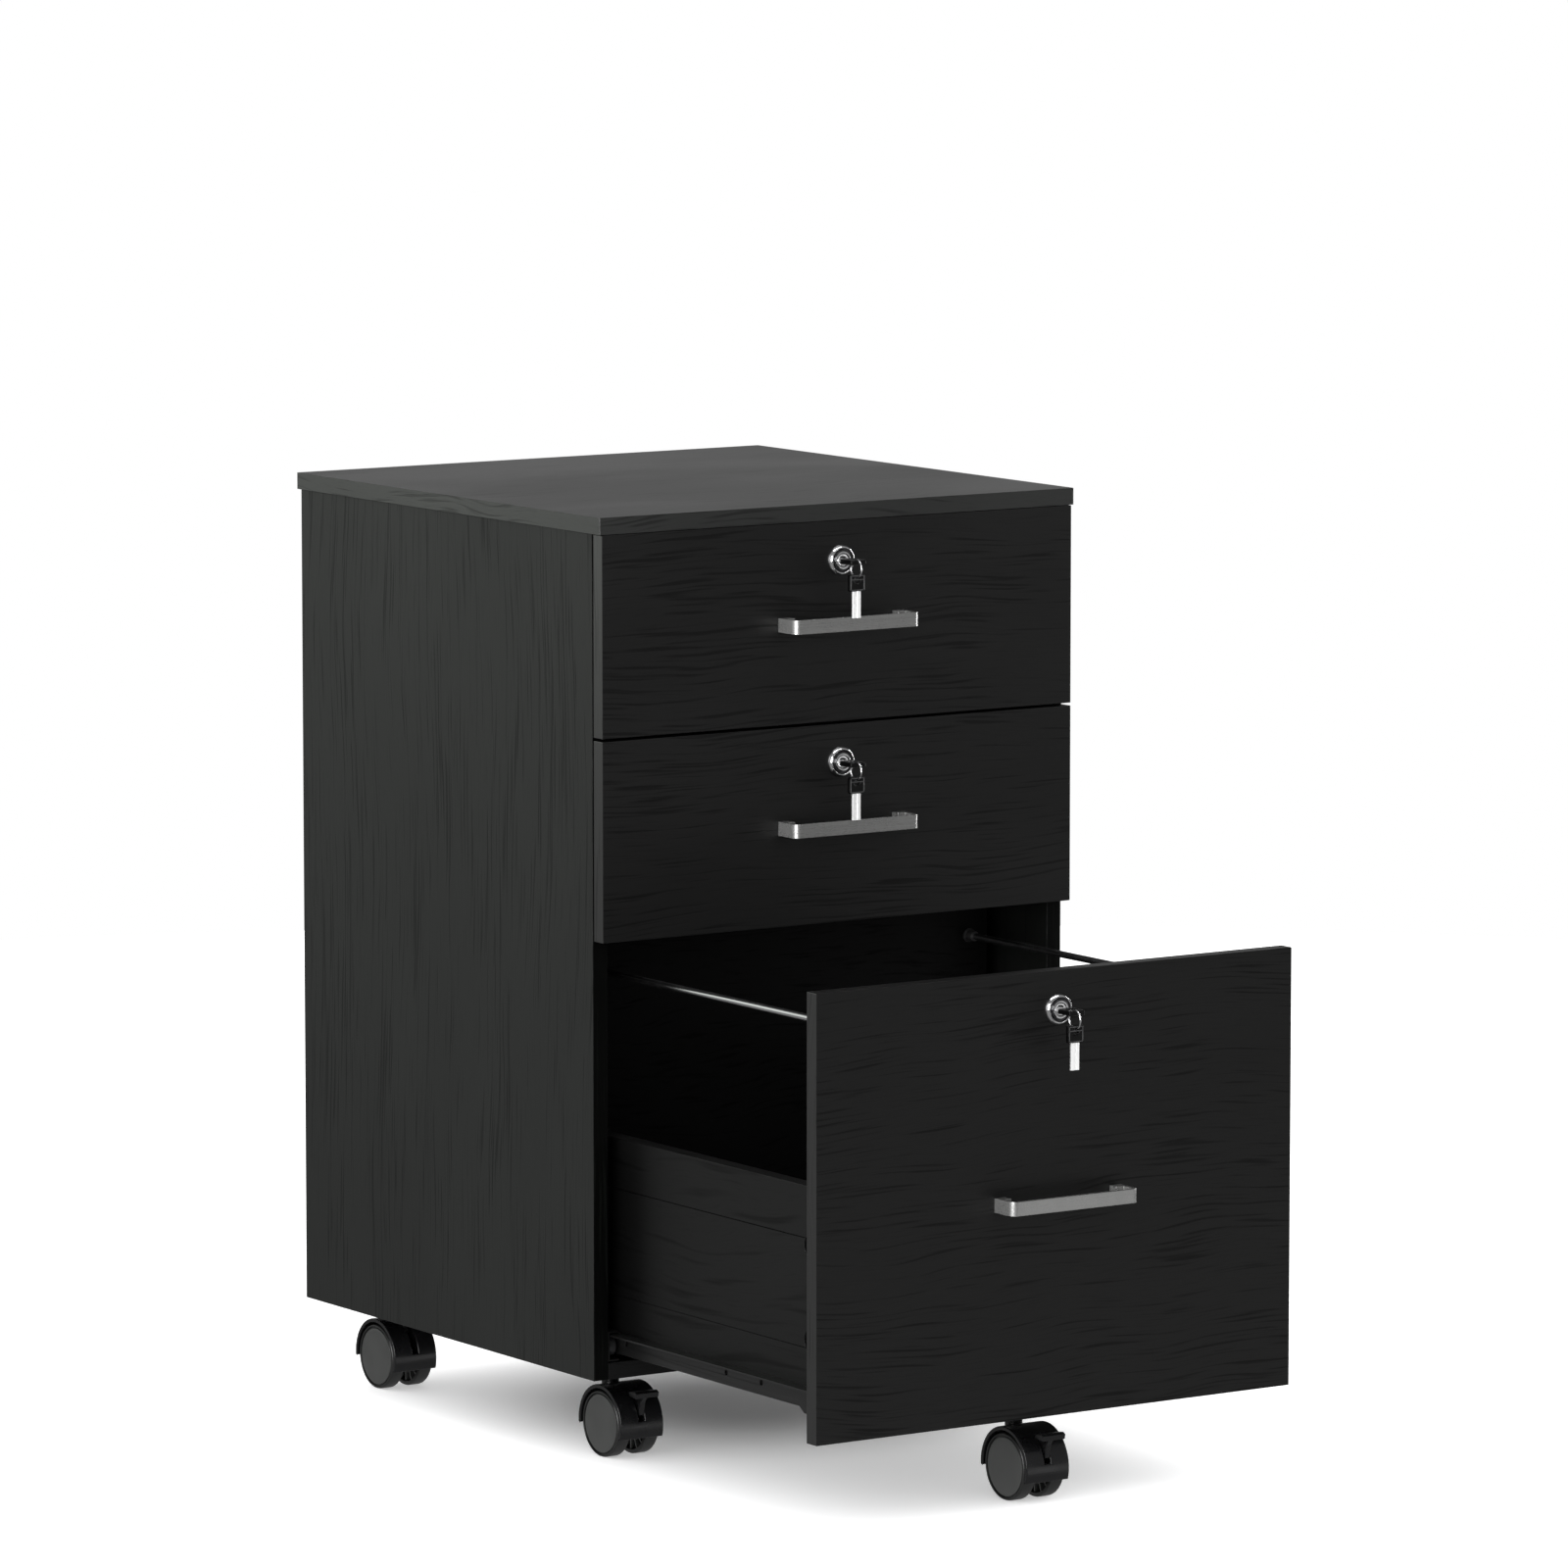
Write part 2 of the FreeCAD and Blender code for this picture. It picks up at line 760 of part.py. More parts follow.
def make_caster_block(doc):
    """Block under the file drawer that holds the fifth caster's stem."""
    body = new_body(doc, "caster_block_body")
    sketch = new_sketch(body, "XY_Plane")
    half = "(block_width / 2)"
    rectangle(sketch, "-" + half, "-block_depth / 2", half, "block_depth / 2")
    base = pad(body, sketch, "box_lift")
    fillet_edges(body, base, "block_corner", upright)
    bore = new_sketch(body, "XY_Plane")
    circle(bore, "0", "0", "stem_radius + stem_fit")
    cut_depth(body, bore, "stem_grip + stem_tip")
    place(body, 0, from_front("file") + size("fifth_caster_y"), size("caster_height"))
    return finish(body, "file_caster_block")


# ---------------------------------------------------------------- locks and keys

def make_lock_housing(doc, kind):
    """Rosette, threaded barrel through the front, and its nut behind the board."""
    body = new_body(doc, kind + "_lock_body")
    sketch = new_sketch(body, "XY_Plane")
    bore = "(plug_radius + plug_fit)"
    polygon(sketch, [(bore, "-rosette_depth"),
                     ("rosette_radius - rosette_bevel", "-rosette_depth"),
                     ("rosette_radius", "-rosette_rim"), ("rosette_radius", "0"),
                     ("barrel_radius", "0"), ("barrel_radius", "board"),
                     ("lock_nut_radius", "board"), ("lock_nut_radius", "board + lock_nut_depth"),
                     ("barrel_radius", "board + lock_nut_depth"),
                     ("barrel_radius", "barrel_length"), (bore, "barrel_length")])
    revolve(body, sketch, "V_Axis")
    place(body, 0, from_front(kind), lock_height(kind))
    return finish(body, kind + "_lock_housing")


def make_plug(doc, kind):
    body = new_body(doc, kind + "_plug")
    sketch = new_sketch(body, "XZ_Plane")
    circle(sketch, "0", "0", "plug_radius")
    lift_sketch(sketch, "plug_proud")
    pad(body, sketch, "plug_proud + barrel_length + plug_tail", backwards=True)
    return body


def make_cam(doc, kind):
    """Locking arm behind the barrel, pointing right while the drawer is free."""
    body = new_body(doc, kind + "_cam")
    sketch = new_sketch(body, "XZ_Plane")
    half = "cam_width / 2"
    shoulder = "cam_length - cam_corner"
    polygon(sketch, [("-" + half, "-" + half), (shoulder, "-" + half),
                     ("cam_length", "-%s + cam_corner" % half),
                     ("cam_length", half + " - cam_corner"), (shoulder, half), ("-" + half, half)])
    lift_sketch(sketch, "-(barrel_length + plug_tail)")
    pad(body, sketch, "cam_plate", backwards=True)
    screw = new_sketch(body, "XZ_Plane")
    circle(screw, "0", "0", "cam_screw_radius")
    lift_sketch(screw, "-(barrel_length + plug_tail + cam_plate)")
    pad(body, screw, "cam_screw_head", backwards=True)
    return body


def make_key_blade(doc, name, length):
    """Flat steel blade along -Z from its shoulder, in the XZ plane."""
    body = new_body(doc, name)
    sketch = new_sketch(body, "XZ_Plane")
    half = "key_blade_width / 2"
    tip = "-" + length
    shoulder = tip + " + key_tip"
    polygon(sketch, [("-" + half, "0"), ("-" + half, shoulder), ("-%s + key_tip" % half, tip),
                     (half + " - key_tip", tip), (half, shoulder), (half, "0")])
    pad(body, sketch, "key_blade_thick", symmetric=True)
    return body


def make_key_head(doc, name, length, hole_x, hole_z):
    """Moulded key head in the XZ plane with a ring hole near its upper end."""
    body = new_body(doc, name)
    sketch = new_sketch(body, "XZ_Plane")
    half = "key_head_width / 2"
    rectangle(sketch, "-" + half, "0", half, length)
    base = pad(body, sketch, "key_head_thick", symmetric=True)

    def corner(edge):
        box = edge.BoundBox
        return box.XLength < 1e-6 and box.ZLength < 1e-6

    fillet_edges(body, base, "key_head_round", corner)
    hole = new_sketch(body, "XZ_Plane")
    circle(hole, hole_x, hole_z, "key_hole_radius")
    cut_through(body, hole)
    return body


def make_key(doc, kind):
    """Turning parts of one lock: plug, cam, and the key left in it."""
    axis_y = from_front(kind)
    axis_z = lock_height(kind)
    plug = make_plug(doc, kind)
    cam = make_cam(doc, kind)
    for item in (plug, cam):
        place(item, 0, axis_y, axis_z)
    # the key lies flat: its length runs along -Y
    lay = FreeCAD.Rotation(vec(1, 0, 0), 90.0)
    face = axis_y - size("plug_proud")
    blade = make_key_blade(doc, kind + "_blade", "key_neck")
    place(blade, 0, face - size("key_neck"), axis_z, lay)
    head = make_key_head(doc, kind + "_key_head", "key_head_length", "-ring_offset",
                         "key_hole_reach")
    place(head, 0, face - size("key_neck"), axis_z, lay)
    return group(doc, kind + "_lock_key", [plug, cam, blade, head])


def make_spare_key(doc, kind):
    """Second key hanging from the first one by a wire ring."""
    axis_z = lock_height(kind)
    hang_x = -size("ring_offset")
    hang_y = from_front(kind) - size("rosette_depth + ring_reach")
    ring = doc.addObject("Part::Torus", kind + "_ring")
    ring.setExpression("Radius1", formula("ring_radius"))
    ring.setExpression("Radius2", formula("ring_wire"))
    place(ring, hang_x, hang_y, axis_z - size("ring_drop"),
          FreeCAD.Rotation(vec(0, 1, 0), 90.0))
    shoulder = axis_z - size("spare_drop + spare_head_length")
    head = make_key_head(doc, kind + "_spare_head", "spare_head_length", "0",
                         "spare_hole_height")
    blade = make_key_blade(doc, kind + "_spare_blade", "key_blade_length")
    for item in (head, blade):
        place(item, hang_x, hang_y, shoulder)
    return group(doc, kind + "_spare_key", [ring, head, blade])


# ---------------------------------------------------------------- casters

def sector(sketch, outer, inner, start, stop):
    """Ring sector between two angles in degrees, made of two arcs and two straight ends."""
    radii = (size(outer), size(inner))
    first = sketch.GeometryCount
    for radius in radii:
        ring = Part.Circle(vec(0, 0, 0), vec(0, 0, 1), radius)
        arc = Part.ArcOfCircle(ring, math.radians(start), math.radians(stop))
        sketch.addGeometry(arc, False)
    for angle in (start, stop):
        ray = vec(math.cos(math.radians(angle)), math.sin(math.radians(angle)), 0)
        sketch.addGeometry(Part.LineSegment(ray * radii[1], ray * radii[0]), False)
    for arc, text in ((first, outer), (first + 1, inner)):
        sketch.addConstraint(Sketcher.Constraint("Coincident", arc, 3, -1, 1))
        row = sketch.addConstraint(Sketcher.Constraint("Radius", arc, size(text)))
        sketch.setExpression("Constraints[%d]" % row, formula(text))
    for line, end in ((first + 2, 1), (first + 3, 2)):
        sketch.addConstraint(Sketcher.Constraint("Coincident", line, 1, first + 1, end))
        sketch.addConstraint(Sketcher.Constraint("Coincident", line, 2, first, end))


def web_outline():
    """Fan under the hood's shell, closed below by a boss round the axle."""
    reach = "(hood_radius - hood_wall / 2)"
    start = HOOD_REAR_END + 4.0
    sweep = HOOD_FRONT_END - 6.0 - start
    fan = []
    for index in range(WEB_STEPS + 1):
        angle = math.radians(start + sweep * index / WEB_STEPS)
        fan.append(("%s * %.5f" % (reach, math.cos(angle)),
                    "%s * %.5f" % (reach, math.sin(angle))))
    return fan + [("-11", "-8"), ("-4", "-10.5"), ("4", "-10.5"), ("11", "-6")]


def make_hood_shell(doc, name):
    """Half-round cover over both wheels with a middle web, stem neck and brake slot."""
    body = new_body(doc, name)
    shell = new_sketch(body, "YZ_Plane")
    sector(shell, "hood_radius", "hood_radius - hood_wall", HOOD_REAR_END, HOOD_FRONT_END)
    pad(body, shell, "2 * hood_half", symmetric=True)
    web = new_sketch(body, "YZ_Plane")
    polygon(web, web_outline())
    pad(body, web, "2 * web_half", symmetric=True)
    neck = new_sketch(body, "XY_Plane")
    circle(neck, "0", "trail", "neck_radius")
    lift_sketch(neck, "neck_foot")
    pad(body, neck, "neck_top - neck_foot")
    stem_bore = new_sketch(body, "XY_Plane")
    circle(stem_bore, "0", "trail", "stem_radius")
    lift_sketch(stem_bore, "stem_foot")
    cut_depth(body, stem_bore, "neck_top")
    axle_bore = new_sketch(body, "YZ_Plane")
    circle(axle_bore, "0", "0", "axle_radius")
    cut_through(body, axle_bore)
    slot = new_sketch(body, "XZ_Plane")
    rectangle(slot, "-slot_half", "slot_low", "slot_half", "slot_high")
    lift_sketch(slot, "slot_start")
    cut_depth(body, slot, "hood_radius", upwards=True)
    return body


def make_stem(doc, name):
    """Steel stem with a collar, held in the hood and turning in the board above."""
    body = new_body(doc, name)
    sketch = new_sketch(body, "XZ_Plane")
    base = "(caster_height - wheel_radius)"
    collar_top = "(%s - collar_gap)" % base
    collar_low = "(%s - collar_height)" % collar_top
    top = base + " + stem_grip"
    polygon(sketch, [("0", "stem_foot"), ("stem_radius", "stem_foot"),
                     ("stem_radius", collar_low), ("collar_radius", collar_low),
                     ("collar_radius", collar_top), ("stem_radius", collar_top),
                     ("stem_radius", top + " - stem_tip"), ("stem_radius - stem_tip", top),
                     ("0", top)])
    revolve(body, sketch, "V_Axis")
    return body


def make_axle(doc, name):
    body = new_body(doc, name)
    sketch = new_sketch(body, "YZ_Plane")
    circle(sketch, "0", "0", "axle_radius")
    pad(body, sketch, "2 * axle_half", symmetric=True)
    return body


def make_hood(doc, place_name, stem_x, stem_y):
    axle_y = stem_y - size("trail")
    height = size("wheel_radius")
    hood = make_hood_shell(doc, place_name + "_hood_shell")
    stem = make_stem(doc, place_name + "_stem")
    axle = make_axle(doc, place_name + "_axle")
    place(hood, stem_x, axle_y, height)
    place(stem, stem_x, stem_y, height)
    place(axle, stem_x, axle_y, height)
    return group(doc, place_name + "_caster_hood", [hood, stem, axle])


def make_wheel_body(doc, name, side):
    """Dished wheel on X: closed outer face, ribs between hub and rim on the inner side."""
    body = new_body(doc, name)
    sketch = new_sketch(body, "XY_Plane")
    sign = "-" if side < 0 else ""
    inner = "wheel_inner"
    outer = "(wheel_inner + wheel_width)"
    rim = "(wheel_radius - wheel_rim)"
    wall = "(wheel_inner + wheel_width - wheel_wall)"
    bore = "(axle_radius + wheel_fit)"
    axle_end = "(axle_half + 0.3)"
    outline = [(inner, bore), (inner, "wheel_hub_radius"), (wall, "wheel_hub_radius"),
               (wall, rim), (inner, rim), (inner, "wheel_radius - tyre_round"),
               (inner + " + tyre_round", "wheel_radius"),
               (outer + " - 2 * tyre_round", "wheel_radius"),
               (outer + " - 0.5", "wheel_radius - 0.9"), (outer + " - 0.3", "wheel_face_radius"),
               (outer + " - 0.9", "wheel_face_radius - 0.4"),
               (outer, "wheel_face_radius - 1.2"), (outer, "0"), (axle_end, "0"),
               (axle_end, bore)]
    polygon(sketch, [("%s(%s)" % (sign, x), r) for x, r in outline])
    revolve(body, sketch, "H_Axis")
    rib = new_sketch(body, "YZ_Plane")
    rectangle(rib, "-rib_thick / 2", "wheel_hub_radius - 0.5", "rib_thick / 2", rim + " + 0.5")
    lift_sketch(rib, "%s(wheel_inner + rib_inset)" % sign)
    spoke = pad(body, rib, "wheel_width - wheel_wall - 1", backwards=side < 0)
    ring = body.newObject("PartDesign::PolarPattern", name + "_ribs")
    ring.Originals = [spoke]
    for line in body.Origin.OriginFeatures:
        if line.Role == "X_Axis":
            ring.Axis = (line, [""])
    ring.Angle = 360.0
    ring.Occurrences = RIB_COUNT
    body.Tip = ring
    doc.recompute()
    return body


def make_wheel(doc, place_name, stem_x, stem_y, side):
    label = "%s_wheel_%s" % (place_name, side_word(side))
    body = make_wheel_body(doc, label + "_body", side)
    place(body, stem_x, stem_y - size("trail"), size("wheel_radius"))
    return finish(body, label)


def make_brake(doc, place_name, stem_x, stem_y):
    """Foot lever: a cross bar outside the hood on a fin that enters the slot."""
    body = new_body(doc, place_name + "_brake_body")
    fin = new_sketch(body, "YZ_Plane")
    polygon(fin, [("-14", "8"), ("-14", "14"), ("-18", "21"), ("-27", "24.5"),
                  ("-33", "25.5"), ("-33", "23"), ("-29.5", "18.5"), ("-27.2", "8.5"),
                  ("-22", "7")])
    pad(body, fin, "2 * brake_fin_half", symmetric=True)
    bar = new_sketch(body, "YZ_Plane")
    polygon(bar, [("-25.5", "23"), ("-34.5", "22.2"), ("-35.5", "25.8"), ("-33", "27.2"),
                  ("-25.5", "26")])
    pad(body, bar, "2 * brake_half", symmetric=True)
    place(body, stem_x, stem_y - size("trail"), size("wheel_radius"))
    return finish(body, place_name + "_caster_brake")


def caster_sites():
    """Name and stem position of each caster."""
    spread = size("caster_spread")
    sites = []
    for row in ("front", "rear"):
        along = from_front() + size(row + "_caster_y")
        for side in (-1, 1):
            sites.append(("%s_%s" % (row, side_word(side)), side * spread, along))
    sites.append(("fifth", 0.0, from_front("file") + size("fifth_caster_y")))
    return sites


def make_casters(doc):
    parts = []
    for place_name, stem_x, stem_y in caster_sites():
        parts.append(make_hood(doc, place_name, stem_x, stem_y))
        for side in (-1, 1):
            parts.append(make_wheel(doc, place_name, stem_x, stem_y, side))
        if place_name in BRAKED:
            parts.append(make_brake(doc, place_name, stem_x, stem_y))
    return parts


# ---------------------------------------------------------------- whole object

def make_carcass(doc):
    return [make_top_panel(doc), make_side_panel(doc, -1), make_side_panel(doc, 1),
            make_back_panel(doc), make_bottom_panel(doc), make_front_rails(doc),
            make_cabinet_slides(doc)]


def make_drawer(doc, kind):
    parts = [make_drawer_front(doc, kind), make_drawer_sides(doc, kind),
             make_drawer_back(doc, kind), make_drawer_bottom(doc, kind),
             make_handle(doc, kind), make_drawer_slides(doc, kind),
             make_lock_housing(doc, kind), make_key(doc, kind), make_spare_key(doc, kind)]
    parts += [make_roller_pair(doc, kind, end) for end in ("front", "rear")]
    if kind == "file":
        parts += [make_hanging_rails(doc), make_caster_block(doc)]
    return parts


def check_document(doc):
    for item in doc.Objects:
        for word in item.State:
            if word in ("Invalid", "Error"):
                raise RuntimeError(item.Name + " is " + word)


def write_parts(parts):
    os.makedirs("parts", exist_ok=True)
    for part in parts:
        shape = part.Shape
        if shape.isNull() or not shape.isValid():
            raise RuntimeError(part.Label + " has no valid shape")
    for part in parts:
        part.Shape.exportStep("parts/" + part.Label + ".step")


def main():
    doc = FreeCAD.newDocument("pedestal")
    make_sheet(doc)
    parts = make_carcass(doc)
    for kind in KINDS:
        parts += make_drawer(doc, kind)
    parts += make_casters(doc)
    doc.recompute()
    check_document(doc)
    write_parts(parts)
    print("sub-parts", len(parts))


main()
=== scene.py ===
import math
import bmesh
import bpy
from mathutils import Matrix, Vector


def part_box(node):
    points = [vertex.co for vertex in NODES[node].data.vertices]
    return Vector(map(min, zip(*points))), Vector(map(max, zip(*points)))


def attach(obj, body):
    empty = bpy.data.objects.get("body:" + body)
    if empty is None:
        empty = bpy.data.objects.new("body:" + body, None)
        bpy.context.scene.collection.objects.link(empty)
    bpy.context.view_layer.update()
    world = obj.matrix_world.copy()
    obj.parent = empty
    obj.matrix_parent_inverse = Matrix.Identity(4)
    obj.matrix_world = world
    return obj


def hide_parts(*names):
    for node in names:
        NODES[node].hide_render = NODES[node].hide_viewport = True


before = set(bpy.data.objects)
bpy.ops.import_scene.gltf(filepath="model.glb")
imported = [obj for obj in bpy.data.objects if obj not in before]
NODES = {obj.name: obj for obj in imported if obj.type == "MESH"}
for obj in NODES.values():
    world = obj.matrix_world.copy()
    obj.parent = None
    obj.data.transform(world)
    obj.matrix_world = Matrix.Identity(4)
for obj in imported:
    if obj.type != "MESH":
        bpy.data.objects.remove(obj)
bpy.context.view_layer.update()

# Rolling pedestal cabinet. Lengths are in metres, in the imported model's frame:
# X to the right, Y from the drawer fronts to the back, Z up from the floor.

MM = 0.001
DRAWERS = ("upper", "middle", "file")
CASTERS = ("front_left", "front_right", "rear_left", "rear_right", "fifth")
BRAKED = ("front_left", "front_right", "fifth")
STEM_SETBACK = 13.7 * MM     # from the wheels' axle back to the stem
STEM_RADIUS = 4.0 * MM
HOOD_NECK_DROP = 16.8 * MM   # from the top of the stem down to the hood
RIB_COUNT = 16
WELD = 2e-6


# ---------------------------------------------------------------- shader helpers

class Shader:
    """A material with one Principled shader and short calls for adding and joining nodes."""

    def __init__(self, name, colour=None, roughness=0.5, metallic=0.0, specular=0.5):
        self.material = bpy.data.materials.new(name)
        self.material.use_nodes = True
        self.tree = self.material.node_tree
        self.surface = self.tree.nodes["Principled BSDF"]
        self.surface.inputs["Metallic"].default_value = metallic
        self.surface.inputs["Roughness"].default_value = roughness
        self.surface.inputs["Specular IOR Level"].default_value = specular
        if colour:
            self.surface.inputs["Base Color"].default_value = (*colour, 1.0)

    def add(self, kind, **settings):
        node = self.tree.nodes.new(kind)
        for key, value in settings.items():
            setattr(node, key, value)
        return node

    def feed(self, socket, value):
        """Joins an output socket to an input, or sets the input to a plain value."""
        if isinstance(value, bpy.types.NodeSocket):
            self.tree.links.new(value, socket)
        else:
            socket.default_value = value

    def maths(self, operation, *values, clamp=False):
        node = self.add("ShaderNodeMath", operation=operation, use_clamp=clamp)
        for socket, value in zip(node.inputs, values):
            self.feed(socket, value)
        return node.outputs[0]

    def vector(self, operation, *values):
        node = self.add("ShaderNodeVectorMath", operation=operation)
        for socket, value in zip(node.inputs, values):
            self.feed(socket, value)
        return node.outputs[0]

    def place(self, output="Object"):
        return self.add("ShaderNodeTexCoord").outputs[output]

    def noise(self, where, detail=2.0, roughness=0.5, scale=1.0, output="Fac"):
        node = self.add("ShaderNodeTexNoise")
        self.feed(node.inputs["Vector"], where)
        node.inputs["Scale"].default_value = scale
        node.inputs["Detail"].default_value = detail
        node.inputs["Roughness"].default_value = roughness
        return node.outputs[output]

    def ramp(self, value, low, high, out_low=0.0, out_high=1.0):
        node = self.add("ShaderNodeMapRange", interpolation_type="SMOOTHSTEP")
        self.feed(node.inputs["Value"], value)
        for key, number in (("From Min", low), ("From Max", high),
                            ("To Min", out_low), ("To Max", out_high)):
            node.inputs[key].default_value = number
        return node.outputs[0]

    def blend(self, factor, first, second):
        """Colour between two colours or sockets."""
        node = self.add("ShaderNodeMix", data_type="RGBA")
        self.feed(node.inputs[0], factor)
        for socket, value in ((node.inputs[6], first), (node.inputs[7], second)):
            self.feed(socket, value if isinstance(value, bpy.types.NodeSocket) else (*value, 1.0))
        return node.outputs[2]

    def bump(self, height, distance, strength=1.0):
        node = self.add("ShaderNodeBump")
        node.inputs["Strength"].default_value = strength
        node.inputs["Distance"].default_value = distance
        self.feed(node.inputs["Height"], height)
        self.feed(self.surface.inputs["Normal"], node.outputs[0])

    def paint(self, colour=None, roughness=None):
        if colour is not None:
            self.feed(self.surface.inputs["Base Color"], colour)
        if roughness is not None:
            self.feed(self.surface.inputs["Roughness"], roughness)
        return self.material


def film_coordinates(shader, along):
    """(along the grain, across it, depth) for each face of a board.
    along gives the grain's axis for faces that look along X, Y and Z."""
    spot = shader.add("ShaderNodeSeparateXYZ")
    shader.feed(spot.inputs[0], shader.place())
    facing = shader.add("ShaderNodeSeparateXYZ")
    shader.feed(facing.inputs[0], shader.place("Normal"))
    joined = None
    for normal, grain in zip("YXZ", (along["Y"], along["X"], along["Z"])):
        across = ("XYZ".replace(normal, "").replace(grain, ""))
        vector = shader.add("ShaderNodeCombineXYZ")
        for socket, axis in zip(vector.inputs, (grain, across, normal)):
            shader.feed(socket, spot.outputs[axis])
        if joined is None:
            joined = vector.outputs[0]
            continue
        tilt = shader.maths("ABSOLUTE", facing.outputs[normal])
        chosen = shader.maths("GREATER_THAN", tilt, 0.7)
        mix = shader.add("ShaderNodeMix", data_type="VECTOR")
        shader.feed(mix.inputs[0], chosen)
        shader.feed(mix.inputs[4], joined)
        shader.feed(mix.inputs[5], vector.outputs[0])
        joined = mix.outputs[1]
    return joined


def wood_film(name, along, tone, streaks=(32.0, 420.0), fibres=(60.0, 1500.0), wander=0.020,
              sway=0.09, depth=1.0, specular=0.25, roughness=0.46, edge=None, band=1.0):
    """Black wood-grain film: wandering pressed streaks over fine fibres.
    streaks and fibres are counts per metre along and across the grain.
    edge is (axis, gloss, roughness) of the edge band, on faces that look along that axis,
    and band is how light that band is against the rest."""
    shader = Shader(name, roughness=roughness, specular=specular)
    flat = film_coordinates(shader, along)
    bent = flat
    for counts, reach in (((9.0, 16.0, 8.0), wander), ((2.4, 3.2, 3.0), sway)):
        drift = shader.noise(shader.vector("MULTIPLY", flat, counts), 1.0, 0.4, output="Color")
        drift = shader.vector("SUBTRACT", drift, (0.5, 0.5, 0.5))
        bent = shader.vector("ADD", bent, shader.vector("MULTIPLY", drift, (0.0, reach, 0.0)))
    # long soft streaks, gathered into denser and calmer bands
    wide = shader.noise(shader.vector("MULTIPLY", bent, (*streaks, 12.0)), 1.0, 0.4)
    density = shader.noise(shader.vector("MULTIPLY", bent, (7.0, 26.0, 7.0)), 1.0, 0.5)
    level = shader.maths("ADD", wide, shader.ramp(density, 0.35, 0.65, -0.05, 0.05))
    streak = shader.ramp(level, 0.56, 0.74)
    fibre = shader.ramp(shader.noise(shader.vector("MULTIPLY", bent, (*fibres, 40.0)), 1.0, 0.5),
                        0.50, 0.74)
    grain = shader.maths("ADD", shader.maths("MULTIPLY", streak, 0.85),
                         shader.maths("MULTIPLY", fibre, 0.22), clamp=True)
    cloud = shader.ramp(shader.noise(shader.vector("MULTIPLY", flat, (4.0, 8.0, 5.0)), 2.0, 0.5),
                        0.35, 0.65)
    base = shader.blend(cloud, [c * 0.92 for c in tone], [c * 1.10 for c in tone])
    shader.bump(shader.maths("SUBTRACT", 1.0, grain), 0.00016 * depth, 0.5)
    gloss, rough = specular, roughness
    if edge:
        facing = shader.add("ShaderNodeSeparateXYZ")
        shader.feed(facing.inputs[0], shader.place("Normal"))
        tilt = shader.maths("ABSOLUTE", facing.outputs[edge[0]])
        side = shader.maths("GREATER_THAN", tilt, 0.7)
        gloss = shader.maths("MULTIPLY_ADD", side, edge[1] - specular, specular)
        rough = shader.maths("MULTIPLY_ADD", side, edge[2] - roughness, roughness)
        base = shader.blend(side, base, [c * band for c in tone])
    dull = shader.maths("MULTIPLY_ADD", grain, -0.38, 1.0)
    shader.feed(shader.surface.inputs["Specular IOR Level"], shader.maths("MULTIPLY", gloss, dull))
    rough = shader.maths("ADD", rough, shader.maths("MULTIPLY_ADD", cloud, 0.05, -0.025))
    return shader.paint(shader.blend(grain, base, [c * 0.55 for c in tone]), rough)


def metal(name, colour, roughness, streaks, depth, spread=0.08, metallic=1.0, painted_light_legs_tone=None):
    """Bare or plated metal; streaks are the drawing or polishing lines per metre on each axis.
    The tone for legs is painted light: a lighter colour on faces that look along X, standing in
    for light falling on those sides, where it differs."""
    shader = Shader(name, colour, roughness, metallic=metallic)
    lines = shader.noise(shader.vector("MULTIPLY", shader.place(), streaks), 3.0, 0.6)
    smudge = shader.noise(shader.place(), 3.0, 0.55, scale=90.0)
    tint = shader.blend(shader.ramp(lines, 0.3, 0.7), [c * 0.86 for c in colour], colour)
    # painted light: faces that look along X get the lighter tone, standing in for light falling on
    # them
    if painted_light_legs_tone:
        facing = shader.add("ShaderNodeSeparateXYZ")
        shader.feed(facing.inputs[0], shader.place("Normal"))
        tilt = shader.maths("ABSOLUTE", facing.outputs["X"])
        tint = shader.blend(shader.ramp(tilt, 0.15, 0.9), tint, painted_light_legs_tone)
    rough = shader.maths("ADD", shader.ramp(lines, 0.3, 0.7, 0.0, spread),
                         shader.ramp(smudge, 0.35, 0.7, roughness, roughness + spread * 0.6))
    shader.bump(lines, depth, 0.5)
    return shader.paint(tint, rough)


def plastic(name, colour, roughness, grain=2600.0, depth=0.00002, specular=0.5, spread=0.1):
    """Moulded plastic with a fine spark texture and slightly uneven gloss."""
    shader = Shader(name, colour, roughness, specular=specular)
    fine = shader.noise(shader.place(), 2.0, 0.5, scale=grain)
    wide = shader.noise(shader.place(), 3.0, 0.5, scale=60.0)
    tint = shader.blend(shader.ramp(wide, 0.35, 0.65), [c * 0.88 for c in colour], colour)
    rough = shader.ramp(wide, 0.3, 0.7, roughness, roughness + spread)
    shader.bump(fine, depth, 0.4)
    return shader.paint(tint, rough)


def painted_steel(name, colour, roughness, specular=0.45):
    """Powder-coated sheet: orange-peel surface with slight wear lines along the travel."""
    shader = Shader(name, colour, roughness, specular=specular)
    peel = shader.noise(shader.place(), 2.0, 0.5, scale=900.0)
    rub = shader.noise(shader.vector("MULTIPLY", shader.place(), (900.0, 14.0, 900.0)), 2.0, 0.5)
    tint = shader.blend(shader.ramp(rub, 0.55, 0.75), colour, [c * 1.5 for c in colour])
    rough = shader.ramp(rub, 0.35, 0.75, roughness, roughness - 0.08)
    shader.bump(peel, 0.00005, 0.5)
    return shader.paint(tint, rough)


